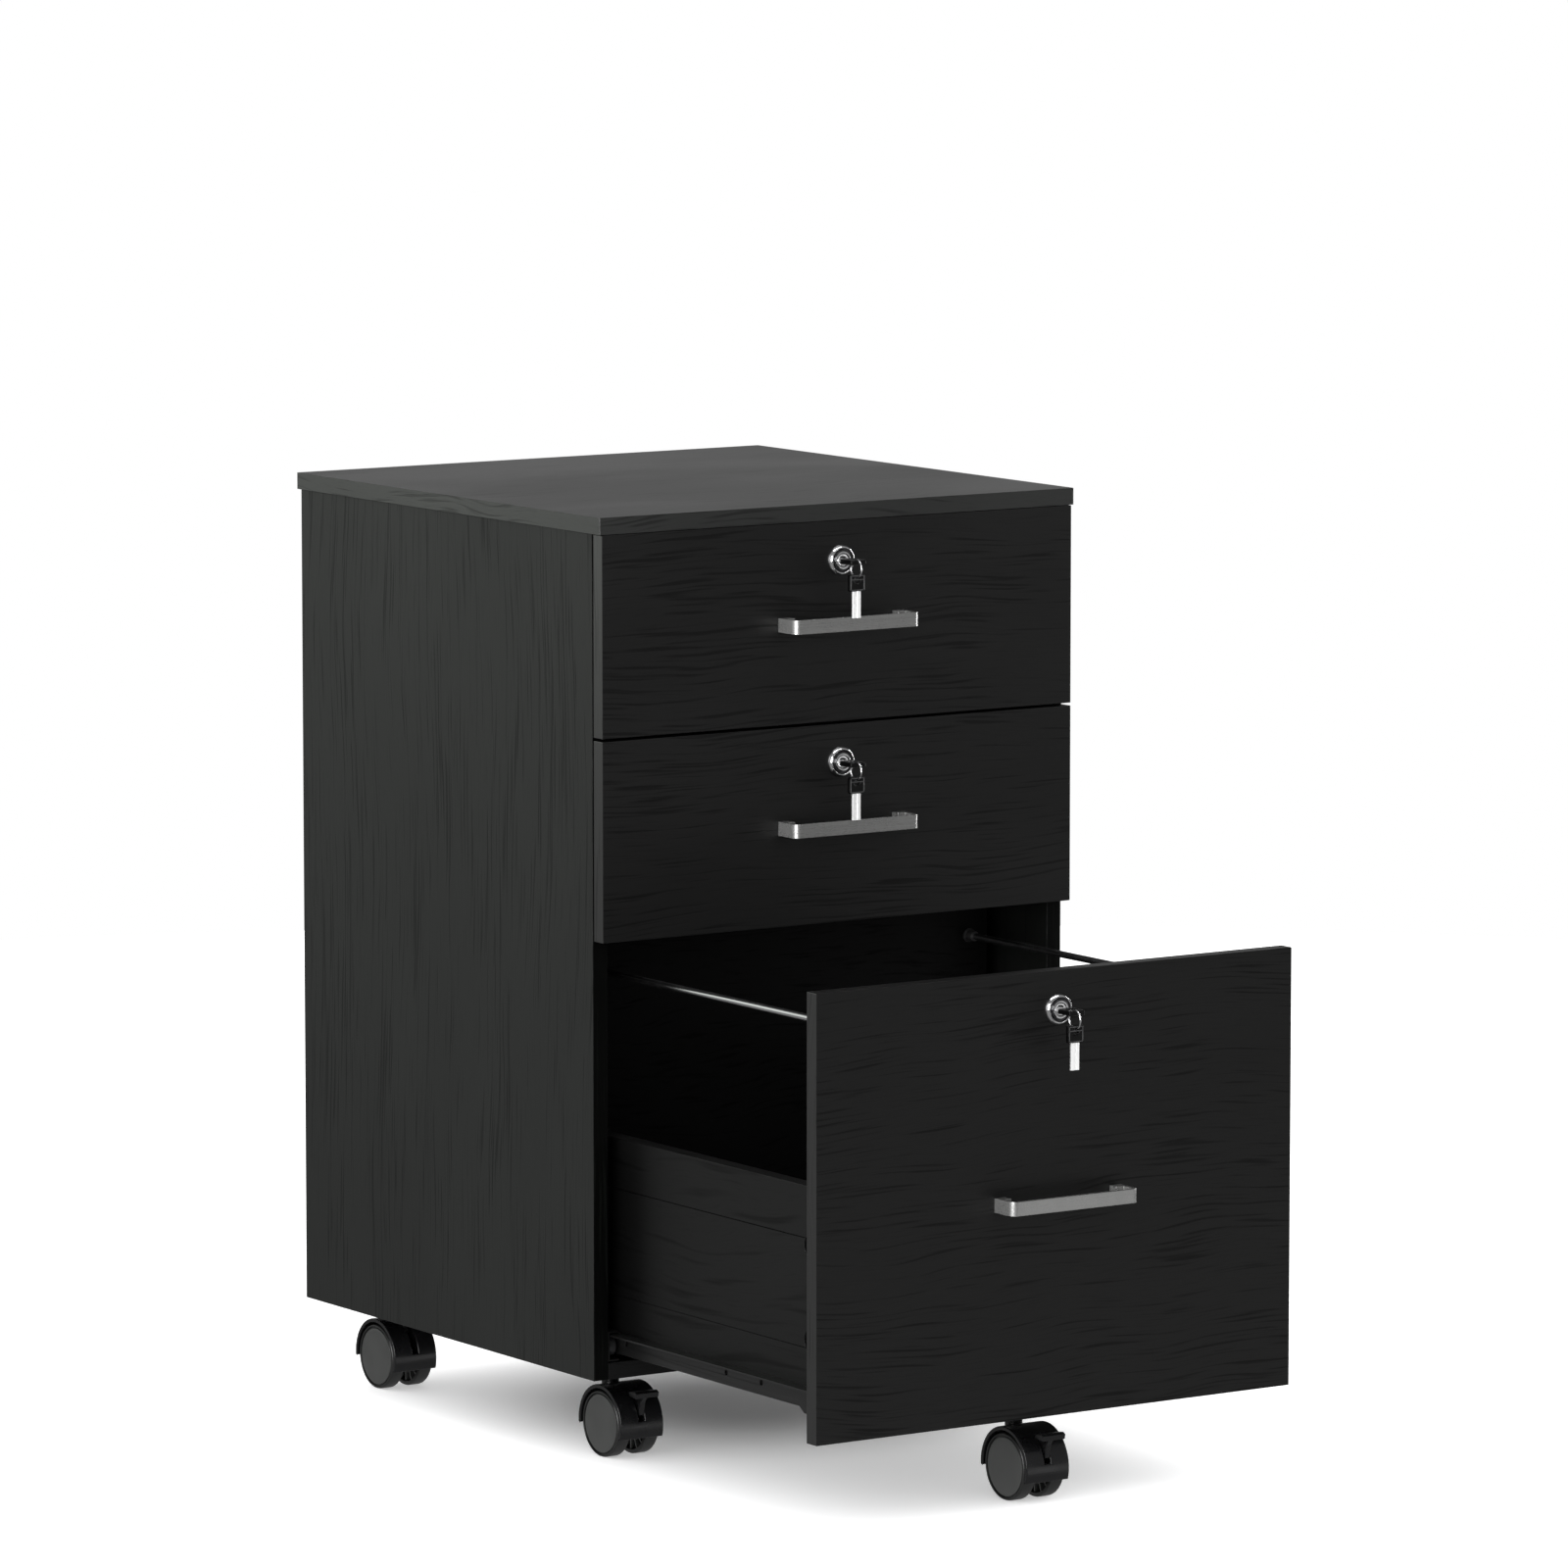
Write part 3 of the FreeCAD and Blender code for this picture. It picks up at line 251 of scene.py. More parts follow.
def hardboard(name, colour):
    """Painted thin board with the fibre speckle of its back."""
    shader = Shader(name, roughness=0.7, specular=0.3)
    speck = shader.noise(shader.place(), 4.0, 0.65, scale=420.0)
    wide = shader.noise(shader.place(), 3.0, 0.5, scale=7.0)
    tint = shader.blend(shader.ramp(speck, 0.4, 0.65), [c * 0.75 for c in colour], colour)
    tint = shader.blend(shader.ramp(wide, 0.3, 0.7, 0.0, 0.25), tint, [c * 1.3 for c in colour])
    shader.bump(speck, 0.00012, 0.6)
    return shader.paint(tint, shader.ramp(speck, 0.3, 0.7, 0.62, 0.78))


FRONT_TONE = (0.0043, 0.0043, 0.0042)
SIDE_TONE = (0.0066, 0.0078, 0.0066)
FILM = {
    "front": wood_film("film_front", {"X": "Z", "Y": "X", "Z": "X"}, FRONT_TONE,
                       streaks=(15.0, 480.0), fibres=(34.0, 1500.0), wander=0.014, sway=0.06,
                       depth=0.85, edge=("X", 1.0, 0.32)),
    # faces that look along Y, the side panels' front edges, get 0.15 of the tone and almost no
    # gloss, so they come out nearly black
    "upright": wood_film("film_side", {"X": "Z", "Y": "Z", "Z": "Y"}, SIDE_TONE,
                         streaks=(13.0, 560.0), fibres=(26.0, 1700.0), wander=0.008, sway=0.05,
                         specular=0.42, edge=("Y", 0.05, 0.6), band=0.15),
    "top": wood_film("film_top", {"X": "Y", "Y": "X", "Z": "X"}, SIDE_TONE,
                     streaks=(20.0, 420.0), depth=0.6, specular=0.65, edge=("X", 0.8, 0.34)),
    "deep": wood_film("film_drawer_side", {"X": "Y", "Y": "Z", "Z": "Y"}, [0.0022] * 3,
                      streaks=(10.0, 150.0), fibres=(40.0, 900.0), wander=0.022, sway=0.16,
                      specular=0.34),
    "cross": wood_film("film_drawer_back", {"X": "Z", "Y": "X", "Z": "X"}, [0.0018] * 3,
                       depth=0.8, specular=0.10),
    "floor": wood_film("film_bottom", {"X": "Y", "Y": "X", "Z": "Y"}, [0.0030] * 3, depth=0.7,
                       specular=0.15),
}
BACK_SHEET = hardboard("back_sheet_paint", (0.020, 0.019, 0.018))
STEEL = painted_steel("slide_paint", (0.0075, 0.0075, 0.0075), 0.36)
CHANNEL = painted_steel("channel_paint", (0.0016, 0.0016, 0.0016), 0.5, specular=0.2)
# on the handles and caster stems, faces that look along X are painted lighter: painted light, not
# a different metal
NICKEL = metal("brushed_nickel", (0.33, 0.33, 0.325), 0.24, (25.0, 2200.0, 2200.0), 0.00002,
               metallic=0.85, painted_light_legs_tone=(0.80, 0.80, 0.79))
CHROME = metal("lock_chrome_plate", (0.85, 0.85, 0.86), 0.07, (120.0, 120.0, 120.0), 0.000004,
               0.05)
# dark colour for the rosette's inner ring: a painted reflection of dark surroundings in the chrome
CHROME_PAINTED_DARK_REFLECTION = metal("lock_ring_painted_reflection", (0.16, 0.16, 0.165), 0.12, (120.0, 120.0, 120.0), 0.000004,
                     0.05)
BLADE = metal("key_blade_steel", (0.95, 0.95, 0.95), 0.22, (1500.0, 1500.0, 40.0), 0.000006, 0.05,
              metallic=0.5)
WIRE = metal("ring_wire_steel", (0.72, 0.72, 0.73), 0.15, (500.0, 500.0, 500.0), 0.000004, 0.05)
ROD = metal("rod_plate", (0.70, 0.70, 0.71), 0.18, (900.0, 12.0, 900.0), 0.000006, 0.06)
ZINC = metal("zinc_plate", (0.45, 0.45, 0.44), 0.34, (300.0, 300.0, 300.0), 0.00001)
HOOD = plastic("hood_plastic", (0.0045, 0.0045, 0.0050), 0.20, specular=0.45)
WHEEL = plastic("wheel_plastic_face", (0.030, 0.0315, 0.030), 0.36, specular=0.9)
TREAD = plastic("wheel_tread_plastic", (0.0075, 0.0078, 0.0075), 0.34, specular=0.6)
HEAD = plastic("key_head_plastic", (0.0016, 0.0016, 0.0018), 0.30, specular=0.22)
HEAD_FRAME = plastic("key_frame_plastic", (0.035, 0.035, 0.036), 0.24, specular=0.6)
CAP = plastic("fitting_plastic", (0.0008, 0.0008, 0.0008), 0.6, specular=0.05)
BLOCK = plastic("block_plastic_face", (0.016, 0.016, 0.016), 0.5, grain=1400.0, depth=0.00004)
NYLON = plastic("roller_nylon_face", (0.012, 0.012, 0.013), 0.42, grain=1800.0)


# ---------------------------------------------------------------- mesh helpers

def finish_piece(name, mesh, material, body, replaced=()):
    """Puts a finished mesh in the scene, on its body, with its finish."""
    mesh.materials.clear()
    mesh.materials.append(material)
    item = bpy.data.objects.new(name, mesh)
    bpy.context.scene.collection.objects.link(item)
    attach(item, body)
    if replaced:
        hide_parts(*replaced)
    return item


def mesh_from(bm, name, smooth_angle=35.0):
    bmesh.ops.recalc_face_normals(bm, faces=bm.faces)
    mesh = bpy.data.meshes.new(name)
    bm.to_mesh(mesh)
    bm.free()
    mesh.shade_smooth()
    mesh.set_sharp_from_angle(angle=math.radians(smooth_angle))
    return mesh


def soften(item, width, segments=2, weld=False, angle=40.0, flat=False):
    """Rounds an object's hard edges with modifiers, which leaves a CAD node's own mesh alone."""
    if weld:
        item.modifiers.new("weld", "WELD").merge_threshold = WELD
    bevel = item.modifiers.new("bevel", "BEVEL")
    bevel.width = width
    bevel.segments = segments
    bevel.limit_method = "ANGLE"
    bevel.angle_limit = math.radians(angle)
    bevel.use_clamp_overlap = False
    if flat:
        bevel.harden_normals = True
        return item
    normals = item.modifiers.new("normals", "WEIGHTED_NORMAL")
    normals.keep_sharp = True
    return item


AXES = {"X": Matrix(((0, 0, 1), (1, 0, 0), (0, 1, 0))),
        "Y": Matrix(((0, 1, 0), (0, 0, 1), (1, 0, 0))),
        "Z": Matrix.Identity(3)}


def lathe(bm, profile, axis, centre, steps=48, closed=False):
    """Turns (along, radius) points round an axis through centre. A radius of 0 ends in a point."""
    turn = AXES[axis]
    rings = []
    for along, radius in profile:
        if radius == 0:
            rings.append([bm.verts.new(centre + turn @ Vector((0, 0, along)))])
            continue
        ring = []
        for step in range(steps):
            angle = 2 * math.pi * step / steps
            spoke = Vector((radius * math.cos(angle), radius * math.sin(angle), along))
            ring.append(bm.verts.new(centre + turn @ spoke))
        rings.append(ring)
    pairs = list(zip(rings, rings[1:]))
    if closed:
        pairs.append((rings[-1], rings[0]))
    for first, second in pairs:
        for step in range(steps):
            after = (step + 1) % steps
            corners = [first[step % len(first)], first[after % len(first)],
                       second[after % len(second)], second[step % len(second)]]
            unique = list(dict.fromkeys(corners))
            if len(unique) > 2:
                bm.faces.new(unique)


def prism(bm, outline, depth, matrix=Matrix.Identity(4)):
    """Extrudes a closed (x, y) outline by depth along Z, centred, then places it."""
    low = [bm.verts.new(matrix @ Vector((x, y, -depth / 2))) for x, y in outline]
    high = [bm.verts.new(matrix @ Vector((x, y, depth / 2))) for x, y in outline]
    bm.faces.new(low[::-1])
    bm.faces.new(high)
    count = len(outline)
    for index in range(count):
        after = (index + 1) % count
        bm.faces.new((low[index], low[after], high[after], high[index]))


def solids_of(node):
    """The separate solids of a CAD node, as welded bmeshes in order of size."""
    whole = bmesh.new()
    whole.from_mesh(NODES[node].data)
    bmesh.ops.remove_doubles(whole, verts=whole.verts, dist=WELD)
    whole.verts.ensure_lookup_table()
    seen = set()
    groups = []
    for start in whole.verts:
        if start.index in seen:
            continue
        seen.add(start.index)
        stack = [start]
        members = []
        while stack:
            vert = stack.pop()
            members.append(vert)
            for edge in vert.link_edges:
                other = edge.other_vert(vert)
                if other.index not in seen:
                    seen.add(other.index)
                    stack.append(other)
        groups.append(sorted(members, key=lambda vert: vert.index))
    solids = []
    for members in groups:
        solid = bmesh.new()
        copy = {vert.index: solid.verts.new(vert.co) for vert in members}
        faces = {face for vert in members for face in vert.link_faces}
        for face in sorted(faces, key=lambda face: face.index):
            solid.faces.new([copy[vert.index] for vert in face.verts])
        solids.append(solid)
    whole.free()
    return sorted(solids, key=lambda solid: (-round(spread(solid).length, 5), middle(solid).x,
                                             middle(solid).y, middle(solid).z))


def corners_of(solid):
    low = Vector([min(vert.co[axis] for vert in solid.verts) for axis in range(3)])
    high = Vector([max(vert.co[axis] for vert in solid.verts) for axis in range(3)])
    return low, high


def spread(solid):
    low, high = corners_of(solid)
    return high - low


def middle(solid):
    low, high = corners_of(solid)
    return (low + high) / 2


def joined(solids):
    """Several bmeshes as one."""
    whole = bmesh.new()
    for solid in solids:
        part = bpy.data.meshes.new("joining")
        solid.to_mesh(part)
        solid.free()
        whole.from_mesh(part)
        bpy.data.meshes.remove(part)
    return whole


def centre_of(node):
    low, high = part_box(node)
    return (low + high) / 2


# ---------------------------------------------------------------- carcass and boards

def paint_node(node, material, width=0.0, segments=2, angle=40.0):
    """Gives a CAD node its finish, and rounds its edges where width is set."""
    item = NODES[node]
    for slot in item.material_slots:
        slot.material = material
    if width:
        soften(item, width, segments, weld=True, angle=angle)
    return item


def dress_carcass():
    edge = 0.45 * MM
    top = paint_node("top_panel", FILM["top"], 0.3 * MM)
    top.modifiers["bevel"].use_clamp_overlap = True
    for side in ("left", "right"):
        paint_node(side + "_side_panel", FILM["upright"], edge)
    paint_node("bottom_panel", FILM["floor"], edge)
    paint_node("front_rails", FILM["cross"], edge)
    paint_node("back_panel", BACK_SHEET, 0.3 * MM)
    paint_node("cabinet_slides", CHANNEL, 0.2 * MM)


def make_back_pins():
    """Round pin heads that hold the back sheet, along its edges."""
    low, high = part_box("back_panel")
    inset = 6 * MM
    columns, rows = 4, 6
    spots = []
    for index in range(columns):
        x = low.x + inset + (high.x - low.x - 2 * inset) * index / (columns - 1)
        spots += [(x, low.z + inset), (x, high.z - inset)]
    for index in range(1, rows):
        z = low.z + inset + (high.z - low.z - 2 * inset) * index / rows
        spots += [(low.x + inset, z), (high.x - inset, z)]
    bm = bmesh.new()
    head = 2.4 * MM
    for x, z in spots:
        lathe(bm, [(-0.3 * MM, head), (0.15 * MM, head), (0.35 * MM, head * 0.7), (0.4 * MM, 0)],
              "Y", Vector((x, high.y, z)), steps=16)
    finish_piece("back_sheet_pins", mesh_from(bm, "back_sheet_pins"), ZINC, "cabinet")


def dress_drawer(kind):
    edge = 0.45 * MM
    paint_node(kind + "_drawer_front", FILM["front"], edge)
    paint_node(kind + "_drawer_back", FILM["cross"], edge)
    paint_node(kind + "_drawer_bottom", FILM["floor"], 0.2 * MM)
    paint_node(kind + "_handle", NICKEL, 0.35 * MM, 3)
    paint_node(kind + "_drawer_slides", STEEL, 0.2 * MM)
    for end in ("front", "rear"):
        paint_node("%s_%s_rollers" % (kind, end), NYLON, 0.2 * MM)
    solids = solids_of(kind + "_drawer_sides")
    body = kind + "_drawer"
    boards = finish_piece(kind + "_side_boards",
                          mesh_from(joined(solids[:2]), kind + "_side_boards"),
                          FILM["deep"], body, [kind + "_drawer_sides"])
    soften(boards, edge, flat=True)
    fittings = finish_piece(kind + "_cam_fittings",
                            mesh_from(joined(solids[2:]), kind + "_cam_fittings"),
                            CAP, body)
    soften(fittings, 0.3 * MM)


def make_handle_screws(kind):
    """Pan heads on the inner face of the front that hold the handle."""
    low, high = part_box(kind + "_handle")
    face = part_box(kind + "_drawer_front")[1].y
    bm = bmesh.new()
    for x in (low.x + 4.5 * MM, high.x - 4.5 * MM):
        spot = Vector((x, face, (low.z + high.z) / 2))
        lathe(bm, [(0, 3.9 * MM), (0.8 * MM, 3.8 * MM), (1.7 * MM, 2.9 * MM), (2.1 * MM, 1.4 * MM),
                   (1.2 * MM, 1.2 * MM), (1.2 * MM, 0)], "Y", spot, steps=24)
    finish_piece(kind + "_handle_screws", mesh_from(bm, kind + "_handle_screws"), ZINC,
                 kind + "_drawer")


# ---------------------------------------------------------------- locks and keys

def make_lock(kind):
    """Stepped rosette, threaded barrel and its nut."""
    low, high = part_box(kind + "_lock_housing")
    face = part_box(kind + "_drawer_front")[0].y
    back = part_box(kind + "_drawer_front")[1].y
    centre = Vector(((low.x + high.x) / 2, face, (low.z + high.z) / 2))
    rim = [(0, 11.0), (-0.9, 11.0), (-1.5, 10.8), (-2.9, 9.9), (-3.35, 9.5), (-3.5, 9.1),
           (-3.42, 8.8), (-3.0, 8.6), (0.5, 8.6)]
    # painted reflection: the inner ring is given a dark colour standing in for the dark
    # surroundings the chrome mirrors there
    ring = [(-2.3, 8.6), (-1.9, 8.3), (-1.8, 7.8), (-2.2, 7.5), (-2.9, 7.3), (-3.15, 7.1),
            (-3.15, 6.8), (-2.9, 6.6), (0.5, 6.6), (0.5, 8.6)]
    for part, profile, surface_look, replaced in (("_rosette", rim, CHROME, [kind + "_lock_housing"]),
                                           ("_rosette_ring", ring, CHROME_PAINTED_DARK_REFLECTION, [])):
        bm = bmesh.new()
        lathe(bm, [(a * MM, r * MM) for a, r in profile], "Y", centre, 64, closed=True)
        finish_piece(kind + part, mesh_from(bm, kind + part, 50.0), surface_look, kind + "_drawer",
                     replaced)
    bm = bmesh.new()
    length = high.y - face
    thread = [(0.6 * MM, 6.7 * MM), (0.6 * MM, 8.3 * MM)]
    pitch = 1.0 * MM
    along = 1.0 * MM
    while along < length - pitch:
        thread += [(along, 8.0 * MM), (along + pitch / 2, 8.5 * MM)]
        along += pitch
    thread += [(length, 8.0 * MM), (length, 6.7 * MM)]
    lathe(bm, thread, "Y", centre, 40, closed=True)
    sides, nut_radius = 6, 11.5 * MM
    corners = [math.pi * i / sides * 2 for i in range(sides)]
    outline = [(nut_radius * math.cos(turn), nut_radius * math.sin(turn)) for turn in corners]
    lay = Matrix.Translation((centre.x, back + 2.0 * MM, centre.z))
    lay = lay @ Matrix.Rotation(math.pi / 2, 4, "X")
    prism(bm, outline, 3.9 * MM, lay)
    finish_piece(kind + "_lock_barrel", mesh_from(bm, kind + "_lock_barrel", 25.0), ZINC,
                 kind + "_drawer")


def frame_bars(bm, width, low, high, bar, thick, matrix):
    """Raised rectangular frame with a cross bar, on one face of a key head."""
    half = width / 2
    cross = low + (high - low) * 0.68
    strips = [(-half, low, -half + bar, high), (half - bar, low, half, high),
              (-half, low, half, low + bar), (-half, high - bar, half, high),
              (-half, cross, half, cross + bar)]
    for x0, y0, x1, y1 in strips:
        outline = [(x0, y0), (x1, y0), (x1, y1), (x0, y1)]
        prism(bm, outline, thick, matrix)


def blade_section(width, thick):
    """Outline of a key blade with a groove down the middle of both faces."""
    half, side = width / 2, thick / 2
    groove, floor_ = 0.9 * MM, side * 0.35
    upper = [(half, side * 0.6), (half * 0.86, side), (groove, side), (groove * 0.5, floor_),
             (-groove * 0.5, floor_), (-groove, side), (-half * 0.86, side), (-half, side * 0.6)]
    lower = [(-x, -y) for x, y in upper]
    return upper + lower


def make_turning_lock(kind):
    """Plug face, cam, and the key that stands in the lock."""
    solids = solids_of(kind + "_lock_key")
    cam, plug, blade, head = sorted(solids, key=lambda solid: -middle(solid).y)
    body = kind + "_lock_key"
    head_low, head_high = corners_of(head)
    blade_low, blade_high = corners_of(blade)
    plug_low, plug_high = corners_of(plug)
    centre = middle(plug)
    centre.y = plug_low.y
    face = [(0.9, 0), (0.9, 3.4), (0.35, 4.1), (0.1, 5.3), (0.1, 5.9), (0.3, 6.3), (0.8, 6.5)]
    profile = [(a * MM, r * MM) for a, r in face]
    profile += [(plug_high.y - plug_low.y, 6.5 * MM), (plug_high.y - plug_low.y, 0)]
    bm = bmesh.new()
    lathe(bm, profile, "Y", centre, 48)
    finish_piece(kind + "_lock_plug", mesh_from(bm, kind + "_lock_plug"), CHROME, body,
                 [kind + "_lock_key"])
    cam_piece = finish_piece(kind + "_lock_cam", mesh_from(cam, kind + "_lock_cam"), ZINC, body)
    soften(cam_piece, 0.3 * MM)
    width, length = head_high.x - head_low.x, head_high.y - head_low.y
    thick = head_high.z - head_low.z
    mid = (head_low + head_high) / 2
    head_piece = finish_piece(kind + "_key_head", mesh_from(head, kind + "_key_head"), HEAD, body)
    soften(head_piece, 0.5 * MM, 3)
    bm = bmesh.new()
    for side in (-1, 1):
        lay = Matrix.Translation((mid.x, mid.y, mid.z + side * (thick / 2 - 0.05 * MM)))
        frame_bars(bm, width - 1.4 * MM, -length / 2 + 0.7 * MM, length / 2 - 0.7 * MM,
                   0.7 * MM, 0.5 * MM, lay @ Matrix.Rotation(math.pi, 4, "Z"))
    rim = finish_piece(kind + "_key_head_frame", mesh_from(bm, kind + "_key_head_frame"),
                       HEAD_FRAME, body)
    soften(rim, 0.12 * MM)
    bm = bmesh.new()
    reach = blade_high.y - blade_low.y + 2.5 * MM
    place = Matrix.Translation((mid.x, blade_low.y + reach / 2 - 0.5 * MM, mid.z))
    prism(bm, blade_section(blade_high.x - blade_low.x, blade_high.z - blade_low.z), reach,
          place @ Matrix.Rotation(math.pi / 2, 4, "X"))
    finish_piece(kind + "_key_neck", mesh_from(bm, kind + "_key_neck"), BLADE, body)


def make_hanging_key(kind):
    """Wire ring and the spare key on it."""
    solids = solids_of(kind + "_spare_key")
    ring, head, blade = sorted(solids, key=lambda solid: -middle(solid).z)
    body = kind + "_spare_key"
    finish_piece(kind + "_key_ring", mesh_from(ring, kind + "_key_ring"), WIRE, body,
                 [kind + "_spare_key"])
    low, high = corners_of(head)
    mid = (low + high) / 2
    thick = high.y - low.y
    head_piece = finish_piece(kind + "_spare_head", mesh_from(head, kind + "_spare_head"), HEAD,
                              body)
    soften(head_piece, 0.5 * MM, 3)
    bm = bmesh.new()
    upright = Matrix.Rotation(math.pi / 2, 4, "X")
    for side in (-1, 1):
        lay = Matrix.Translation((mid.x, mid.y + side * (thick / 2 - 0.05 * MM), mid.z)) @ upright
        frame_bars(bm, high.x - low.x - 1.2 * MM, (low.z - mid.z) + 0.6 * MM,
                   (high.z - mid.z) - 0.6 * MM, 0.7 * MM, 0.5 * MM, lay)
    rim = finish_piece(kind + "_spare_head_frame", mesh_from(bm, kind + "_spare_head_frame"),
                       HEAD_FRAME, body)
    soften(rim, 0.12 * MM)
    low, high = corners_of(blade)
    bm = bmesh.new()
    reach = high.z - low.z + 1.0 * MM
    prism(bm, blade_section(high.x - low.x, high.y - low.y), reach,
          Matrix.Translation(((low.x + high.x) / 2, (low.y + high.y) / 2, low.z + reach / 2)))
    spare = finish_piece(kind + "_spare_blade", mesh_from(bm, kind + "_spare_blade"), BLADE, body)
    soften(spare, 0.12 * MM)


# ---------------------------------------------------------------- file drawer fittings

def make_hanging_rods():
    """Plated rods with a moulded cup at each end."""
    low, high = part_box("file_hanging_rails")
    radius, cup, cup_radius = 2.5 * MM, 8.0 * MM, 5.0 * MM
    rods, cups = bmesh.new(), bmesh.new()
    height = (low.z + high.z) / 2
    for x in (low.x + cup_radius, high.x - cup_radius):
        start = Vector((x, low.y, height))
        end = high.y - low.y
        lathe(rods, [(0.5 * MM, 0), (0.5 * MM, radius), (end - 0.5 * MM, radius),
                     (end - 0.5 * MM, 0)], "Y", start, 32)
        for near, far in ((0.0, cup), (end, end - cup)):
            sign = 1 if far > near else -1
            lathe(cups, [(near, 0), (near, cup_radius), (near + sign * 1.5 * MM, cup_radius),
                         (near + sign * 1.9 * MM, cup_radius * 0.82),
                         (far - sign * 0.5 * MM, cup_radius * 0.76),
                         (far, cup_radius * 0.7), (far, radius),
                         (far - sign * 2 * MM, radius * 0.9)],
                  "Y", start, 32)
    finish_piece("file_rods", mesh_from(rods, "file_rods"), ROD, "file_drawer",
                 ["file_hanging_rails"])
    finish_piece("file_rod_cups", mesh_from(cups, "file_rod_cups"), BLOCK, "file_drawer")


# ---------------------------------------------------------------- casters

def make_hood(name):
    """Moulded hood from the CAD shell, with a plated stem and collar of its own."""
    node = name + "_caster_hood"
    wheel = (centre_of(name + "_wheel_left") + centre_of(name + "_wheel_right")) / 2
    low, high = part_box(node)
    stem_y = wheel.y + STEM_SETBACK
    neck_top = high.z - HOOD_NECK_DROP
    hood = bmesh.new()
    hood.from_mesh(NODES[node].data)
    bmesh.ops.remove_doubles(hood, verts=hood.verts, dist=WELD)
    spare = []
    for face in hood.faces:
        spot = face.calc_center_median()
        off_axis = math.hypot(spot.x - wheel.x, spot.y - stem_y)
        if spot.z > neck_top + 0.4 * MM or off_axis < 4.05 * MM and spot.z > wheel.z + 5 * MM:
            spare.append(face)
    bmesh.ops.delete(hood, geom=spare, context="FACES")
    loose = [vert for vert in hood.verts if not vert.link_faces]
    bmesh.ops.delete(hood, geom=loose, context="VERTS")
    rims = [edge for edge in hood.edges if edge.is_boundary]
    bmesh.ops.holes_fill(hood, edges=rims, sides=0)
    piece = finish_piece(name + "_hood", mesh_from(hood, name + "_hood"), HOOD, name + "_caster",
                         [node])
    soften(piece, 0.65 * MM, 3, angle=42.0)
    top = high.z - neck_top
    stem = [(-8 * MM, 0), (-8 * MM, STEM_RADIUS), (0.2 * MM, STEM_RADIUS), (0.2 * MM, 5.2 * MM),
            (0.8 * MM, 5.4 * MM), (0.9 * MM, 6.2 * MM), (1.3 * MM, 6.5 * MM), (5.1 * MM, 6.5 * MM),
            (5.5 * MM, 6.2 * MM), (5.5 * MM, STEM_RADIUS), (top - 1 * MM, STEM_RADIUS),
            (top, 3 * MM), (top, 0)]
    bm = bmesh.new()
    lathe(bm, stem, "Z", Vector((wheel.x, stem_y, neck_top)), 40)
    finish_piece(name + "_stem", mesh_from(bm, name + "_stem"), NICKEL, name + "_caster")


DISC_PROFILE = [(15.3, 0), (15.3, 3.1), (6.9, 3.1), (6.9, 6.2), (7.2, 6.5), (14.4, 6.5),
                (14.4, 20.9), (16.4, 20.9), (16.95, 20.6), (17.16, 20.1), (17.26, 19.0),
                (17.38, 16.0), (17.45, 11.0), (17.5, 5.0), (17.5, 0)]
TREAD_PROFILE = [(14.45, 20.6), (7.5, 20.6), (6.9, 21.0), (6.9, 22.9), (7.2, 23.5), (7.9, 23.8),
                 (15.5, 23.8), (16.5, 23.6), (17.1, 23.2), (17.35, 22.7), (17.3, 22.2),
                 (16.9, 21.95), (16.0, 21.8), (16.0, 20.95), (14.45, 20.95)]


def make_wheel(name, side):
    """Domed disc with ribs inside, in a darker tread ring with a groove between them."""
    node = "%s_wheel_%s" % (name, side)
    centre = centre_of(node)
    middle_x = (centre_of(name + "_wheel_left").x + centre_of(name + "_wheel_right").x) / 2
    sign = -1 if side == "left" else 1
    hub = Vector((middle_x, centre.y, centre.z))
    bm = bmesh.new()
    lathe(bm, [(sign * along * MM, radius * MM) for along, radius in DISC_PROFILE], "X", hub, 72)
    for index in range(RIB_COUNT):
        turn = Matrix.Translation(hub) @ Matrix.Rotation(2 * math.pi * index / RIB_COUNT, 4, "X")
        outline = [(sign * 8.2 * MM, 6.3 * MM), (sign * 14.5 * MM, 6.3 * MM),
                   (sign * 14.5 * MM, 20.8 * MM), (sign * 8.2 * MM, 20.8 * MM)]
        prism(bm, outline, 1.3 * MM, turn)
    finish_piece(node + "_disc", mesh_from(bm, node + "_disc"), WHEEL, node,
                 [node])
    bm = bmesh.new()
    lathe(bm, [(sign * along * MM, radius * MM) for along, radius in TREAD_PROFILE], "X", hub, 72,
          closed=True)
    finish_piece(node + "_tread", mesh_from(bm, node + "_tread"), TREAD, node)


def make_casters():
    for name in CASTERS:
        make_hood(name)
        for side in ("left", "right"):
            make_wheel(name, side)
        if name in BRAKED:
            paint_node(name + "_caster_brake", HOOD, 0.6 * MM, 3)


# ---------------------------------------------------------------- stage

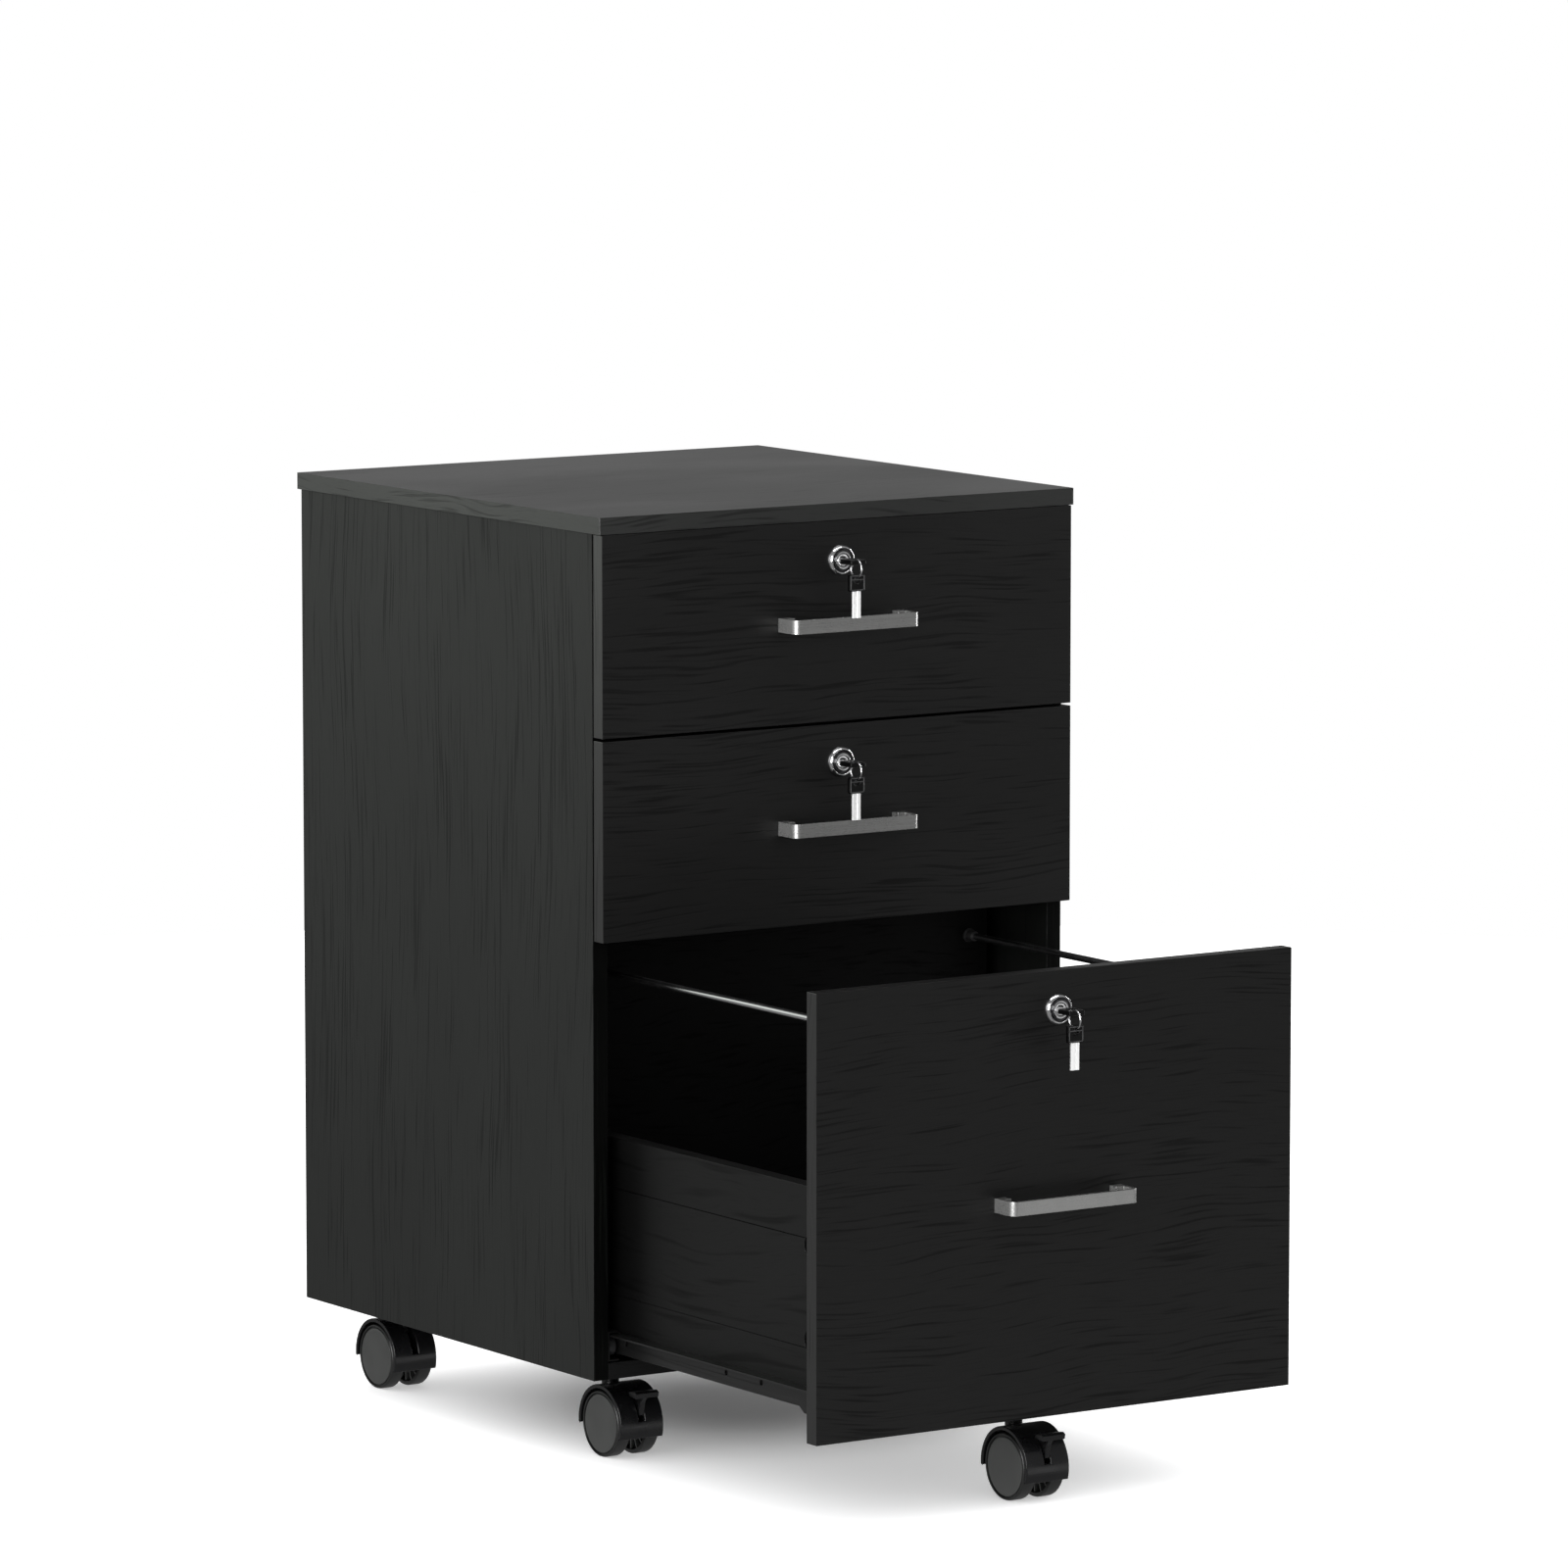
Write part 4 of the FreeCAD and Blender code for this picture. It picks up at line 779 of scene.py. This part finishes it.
def make_floor():
    shader = Shader("floor_white", roughness=0.5, specular=0.0)
    soft = shader.noise(shader.place(), 2.0, 0.5, scale=3.0)
    shader.paint(shader.blend(soft, (0.84, 0.84, 0.845), (0.86, 0.86, 0.863)),
                 shader.ramp(soft, 0.3, 0.7, 0.46, 0.54))
    # painted light: the floor glows faintly, and the glow fades to almost nothing around a point
    # under the cabinet, which is a painted soft shadow
    apart = shader.add("ShaderNodeVectorMath", operation="DISTANCE")
    shader.feed(apart.inputs[0], shader.place())
    shader.feed(apart.inputs[1], (0.02, 0.11, 0.0))
    surface = shader.surface.inputs
    surface["Emission Color"].default_value = (1.0, 1.0, 1.0, 1.0)
    shader.feed(surface["Emission Strength"],
                shader.ramp(apart.outputs["Value"], 0.04, 0.24, 0.04, 0.40))
    bm = bmesh.new()
    rings, steps, reach = 6, 64, 2.6
    lathe(bm, [(0.0, 0)] + [(0.0, reach * (ring + 1) / rings) for ring in range(rings)], "Z",
          Vector((0, 0, 0)), steps)
    mesh = bpy.data.meshes.new("studio_floor")
    bmesh.ops.recalc_face_normals(bm, faces=bm.faces)
    bm.to_mesh(mesh)
    bm.free()
    mesh.materials.append(shader.material)
    floor = bpy.data.objects.new("studio_floor", mesh)
    bpy.context.scene.collection.objects.link(floor)
    # the floor catches shadows without throwing light back at the cabinet
    floor.visible_diffuse = False
    floor.visible_glossy = False


def soft_light(name, spot, target, width, height, radiance, colour=(1, 1, 1)):
    """Rectangular light of a given brightness aimed at a point, seen only in reflections."""
    lamp = bpy.data.lights.new(name, "AREA")
    lamp.shape = "RECTANGLE"
    lamp.size, lamp.size_y = width, height
    lamp.energy = radiance * math.pi * width * height
    lamp.color = colour
    item = bpy.data.objects.new(name, lamp)
    item.location = spot
    item.rotation_euler = (Vector(target) - Vector(spot)).to_track_quat("-Z", "Y").to_euler()
    item.visible_diffuse = False
    item.visible_camera = False
    bpy.context.scene.collection.objects.link(item)
    return item


def make_lights():
    soft_light("back_left_softbox", (-1.55, 2.1, 1.0), (-0.2, 0.1, 0.45), 1.8, 1.4, 0.75,
               (0.94, 1.0, 0.92))
    soft_light("back_right_softbox", (1.8, 2.8, 1.0), (0, 0.1, 0.6), 2.2, 1.2, 0.45)
    soft_light("low_front_fill", (0.9, -1.7, -0.22), (0, -0.3, 0.1), 1.6, 0.4, 0.65)
    soft_light("left_front_strip", (-2.1, -1.35, 0.95), (0, -0.1, 0.4), 1.4, 1.5, 9.0)
    soft_light("right_strip", (2.3, -0.2, 0.9), (0, -0.1, 0.4), 0.25, 1.4, 22.0)
    soft_light("overhead_strip", (-0.1, -0.5, 2.6), (0, 0, 0.5), 2.2, 0.4, 7.0)
    world = bpy.data.worlds.new("studio")
    bpy.context.scene.world = world
    world.use_nodes = True
    tree = world.node_tree
    tree.nodes.clear()
    ray = tree.nodes.new("ShaderNodeLightPath")
    out = tree.nodes.new("ShaderNodeOutputWorld")
    # brightness of the white room in reflections, as a fill, and behind the cabinet
    shade = None
    for strength, kind in ((0.25, None), (1.7, "Is Diffuse Ray"), (1.0, "Is Camera Ray")):
        background = tree.nodes.new("ShaderNodeBackground")
        background.inputs["Color"].default_value = (1, 1, 1, 1)
        background.inputs["Strength"].default_value = strength
        if shade is None:
            shade = background.outputs[0]
            continue
        mix = tree.nodes.new("ShaderNodeMixShader")
        tree.links.new(ray.outputs[kind], mix.inputs[0])
        tree.links.new(shade, mix.inputs[1])
        tree.links.new(background.outputs[0], mix.inputs[2])
        shade = mix.outputs[0]
    tree.links.new(shade, out.inputs[0])


def make_camera():
    """Long lens from the front left, a little above the object's middle."""
    data = bpy.data.cameras.new("camera")
    data.sensor_width = 36.0
    data.lens = 214.36
    data.clip_end = 50.0
    camera = bpy.data.objects.new("camera", data)
    camera.location = (-3.65983, -5.49622, 1.30370)
    camera.rotation_euler = (math.radians(90 - 7.205), 0, math.radians(-33.583))
    bpy.context.scene.collection.objects.link(camera)
    bpy.context.scene.camera = camera


make_camera()
make_floor()
make_lights()
bpy.context.scene.view_settings.view_transform = "Standard"
dress_carcass()
make_back_pins()
for drawer in DRAWERS:
    dress_drawer(drawer)
    make_handle_screws(drawer)
    make_lock(drawer)
    make_turning_lock(drawer)
    make_hanging_key(drawer)
make_hanging_rods()
paint_node("file_caster_block", BLOCK, 0.5 * MM)
make_casters()
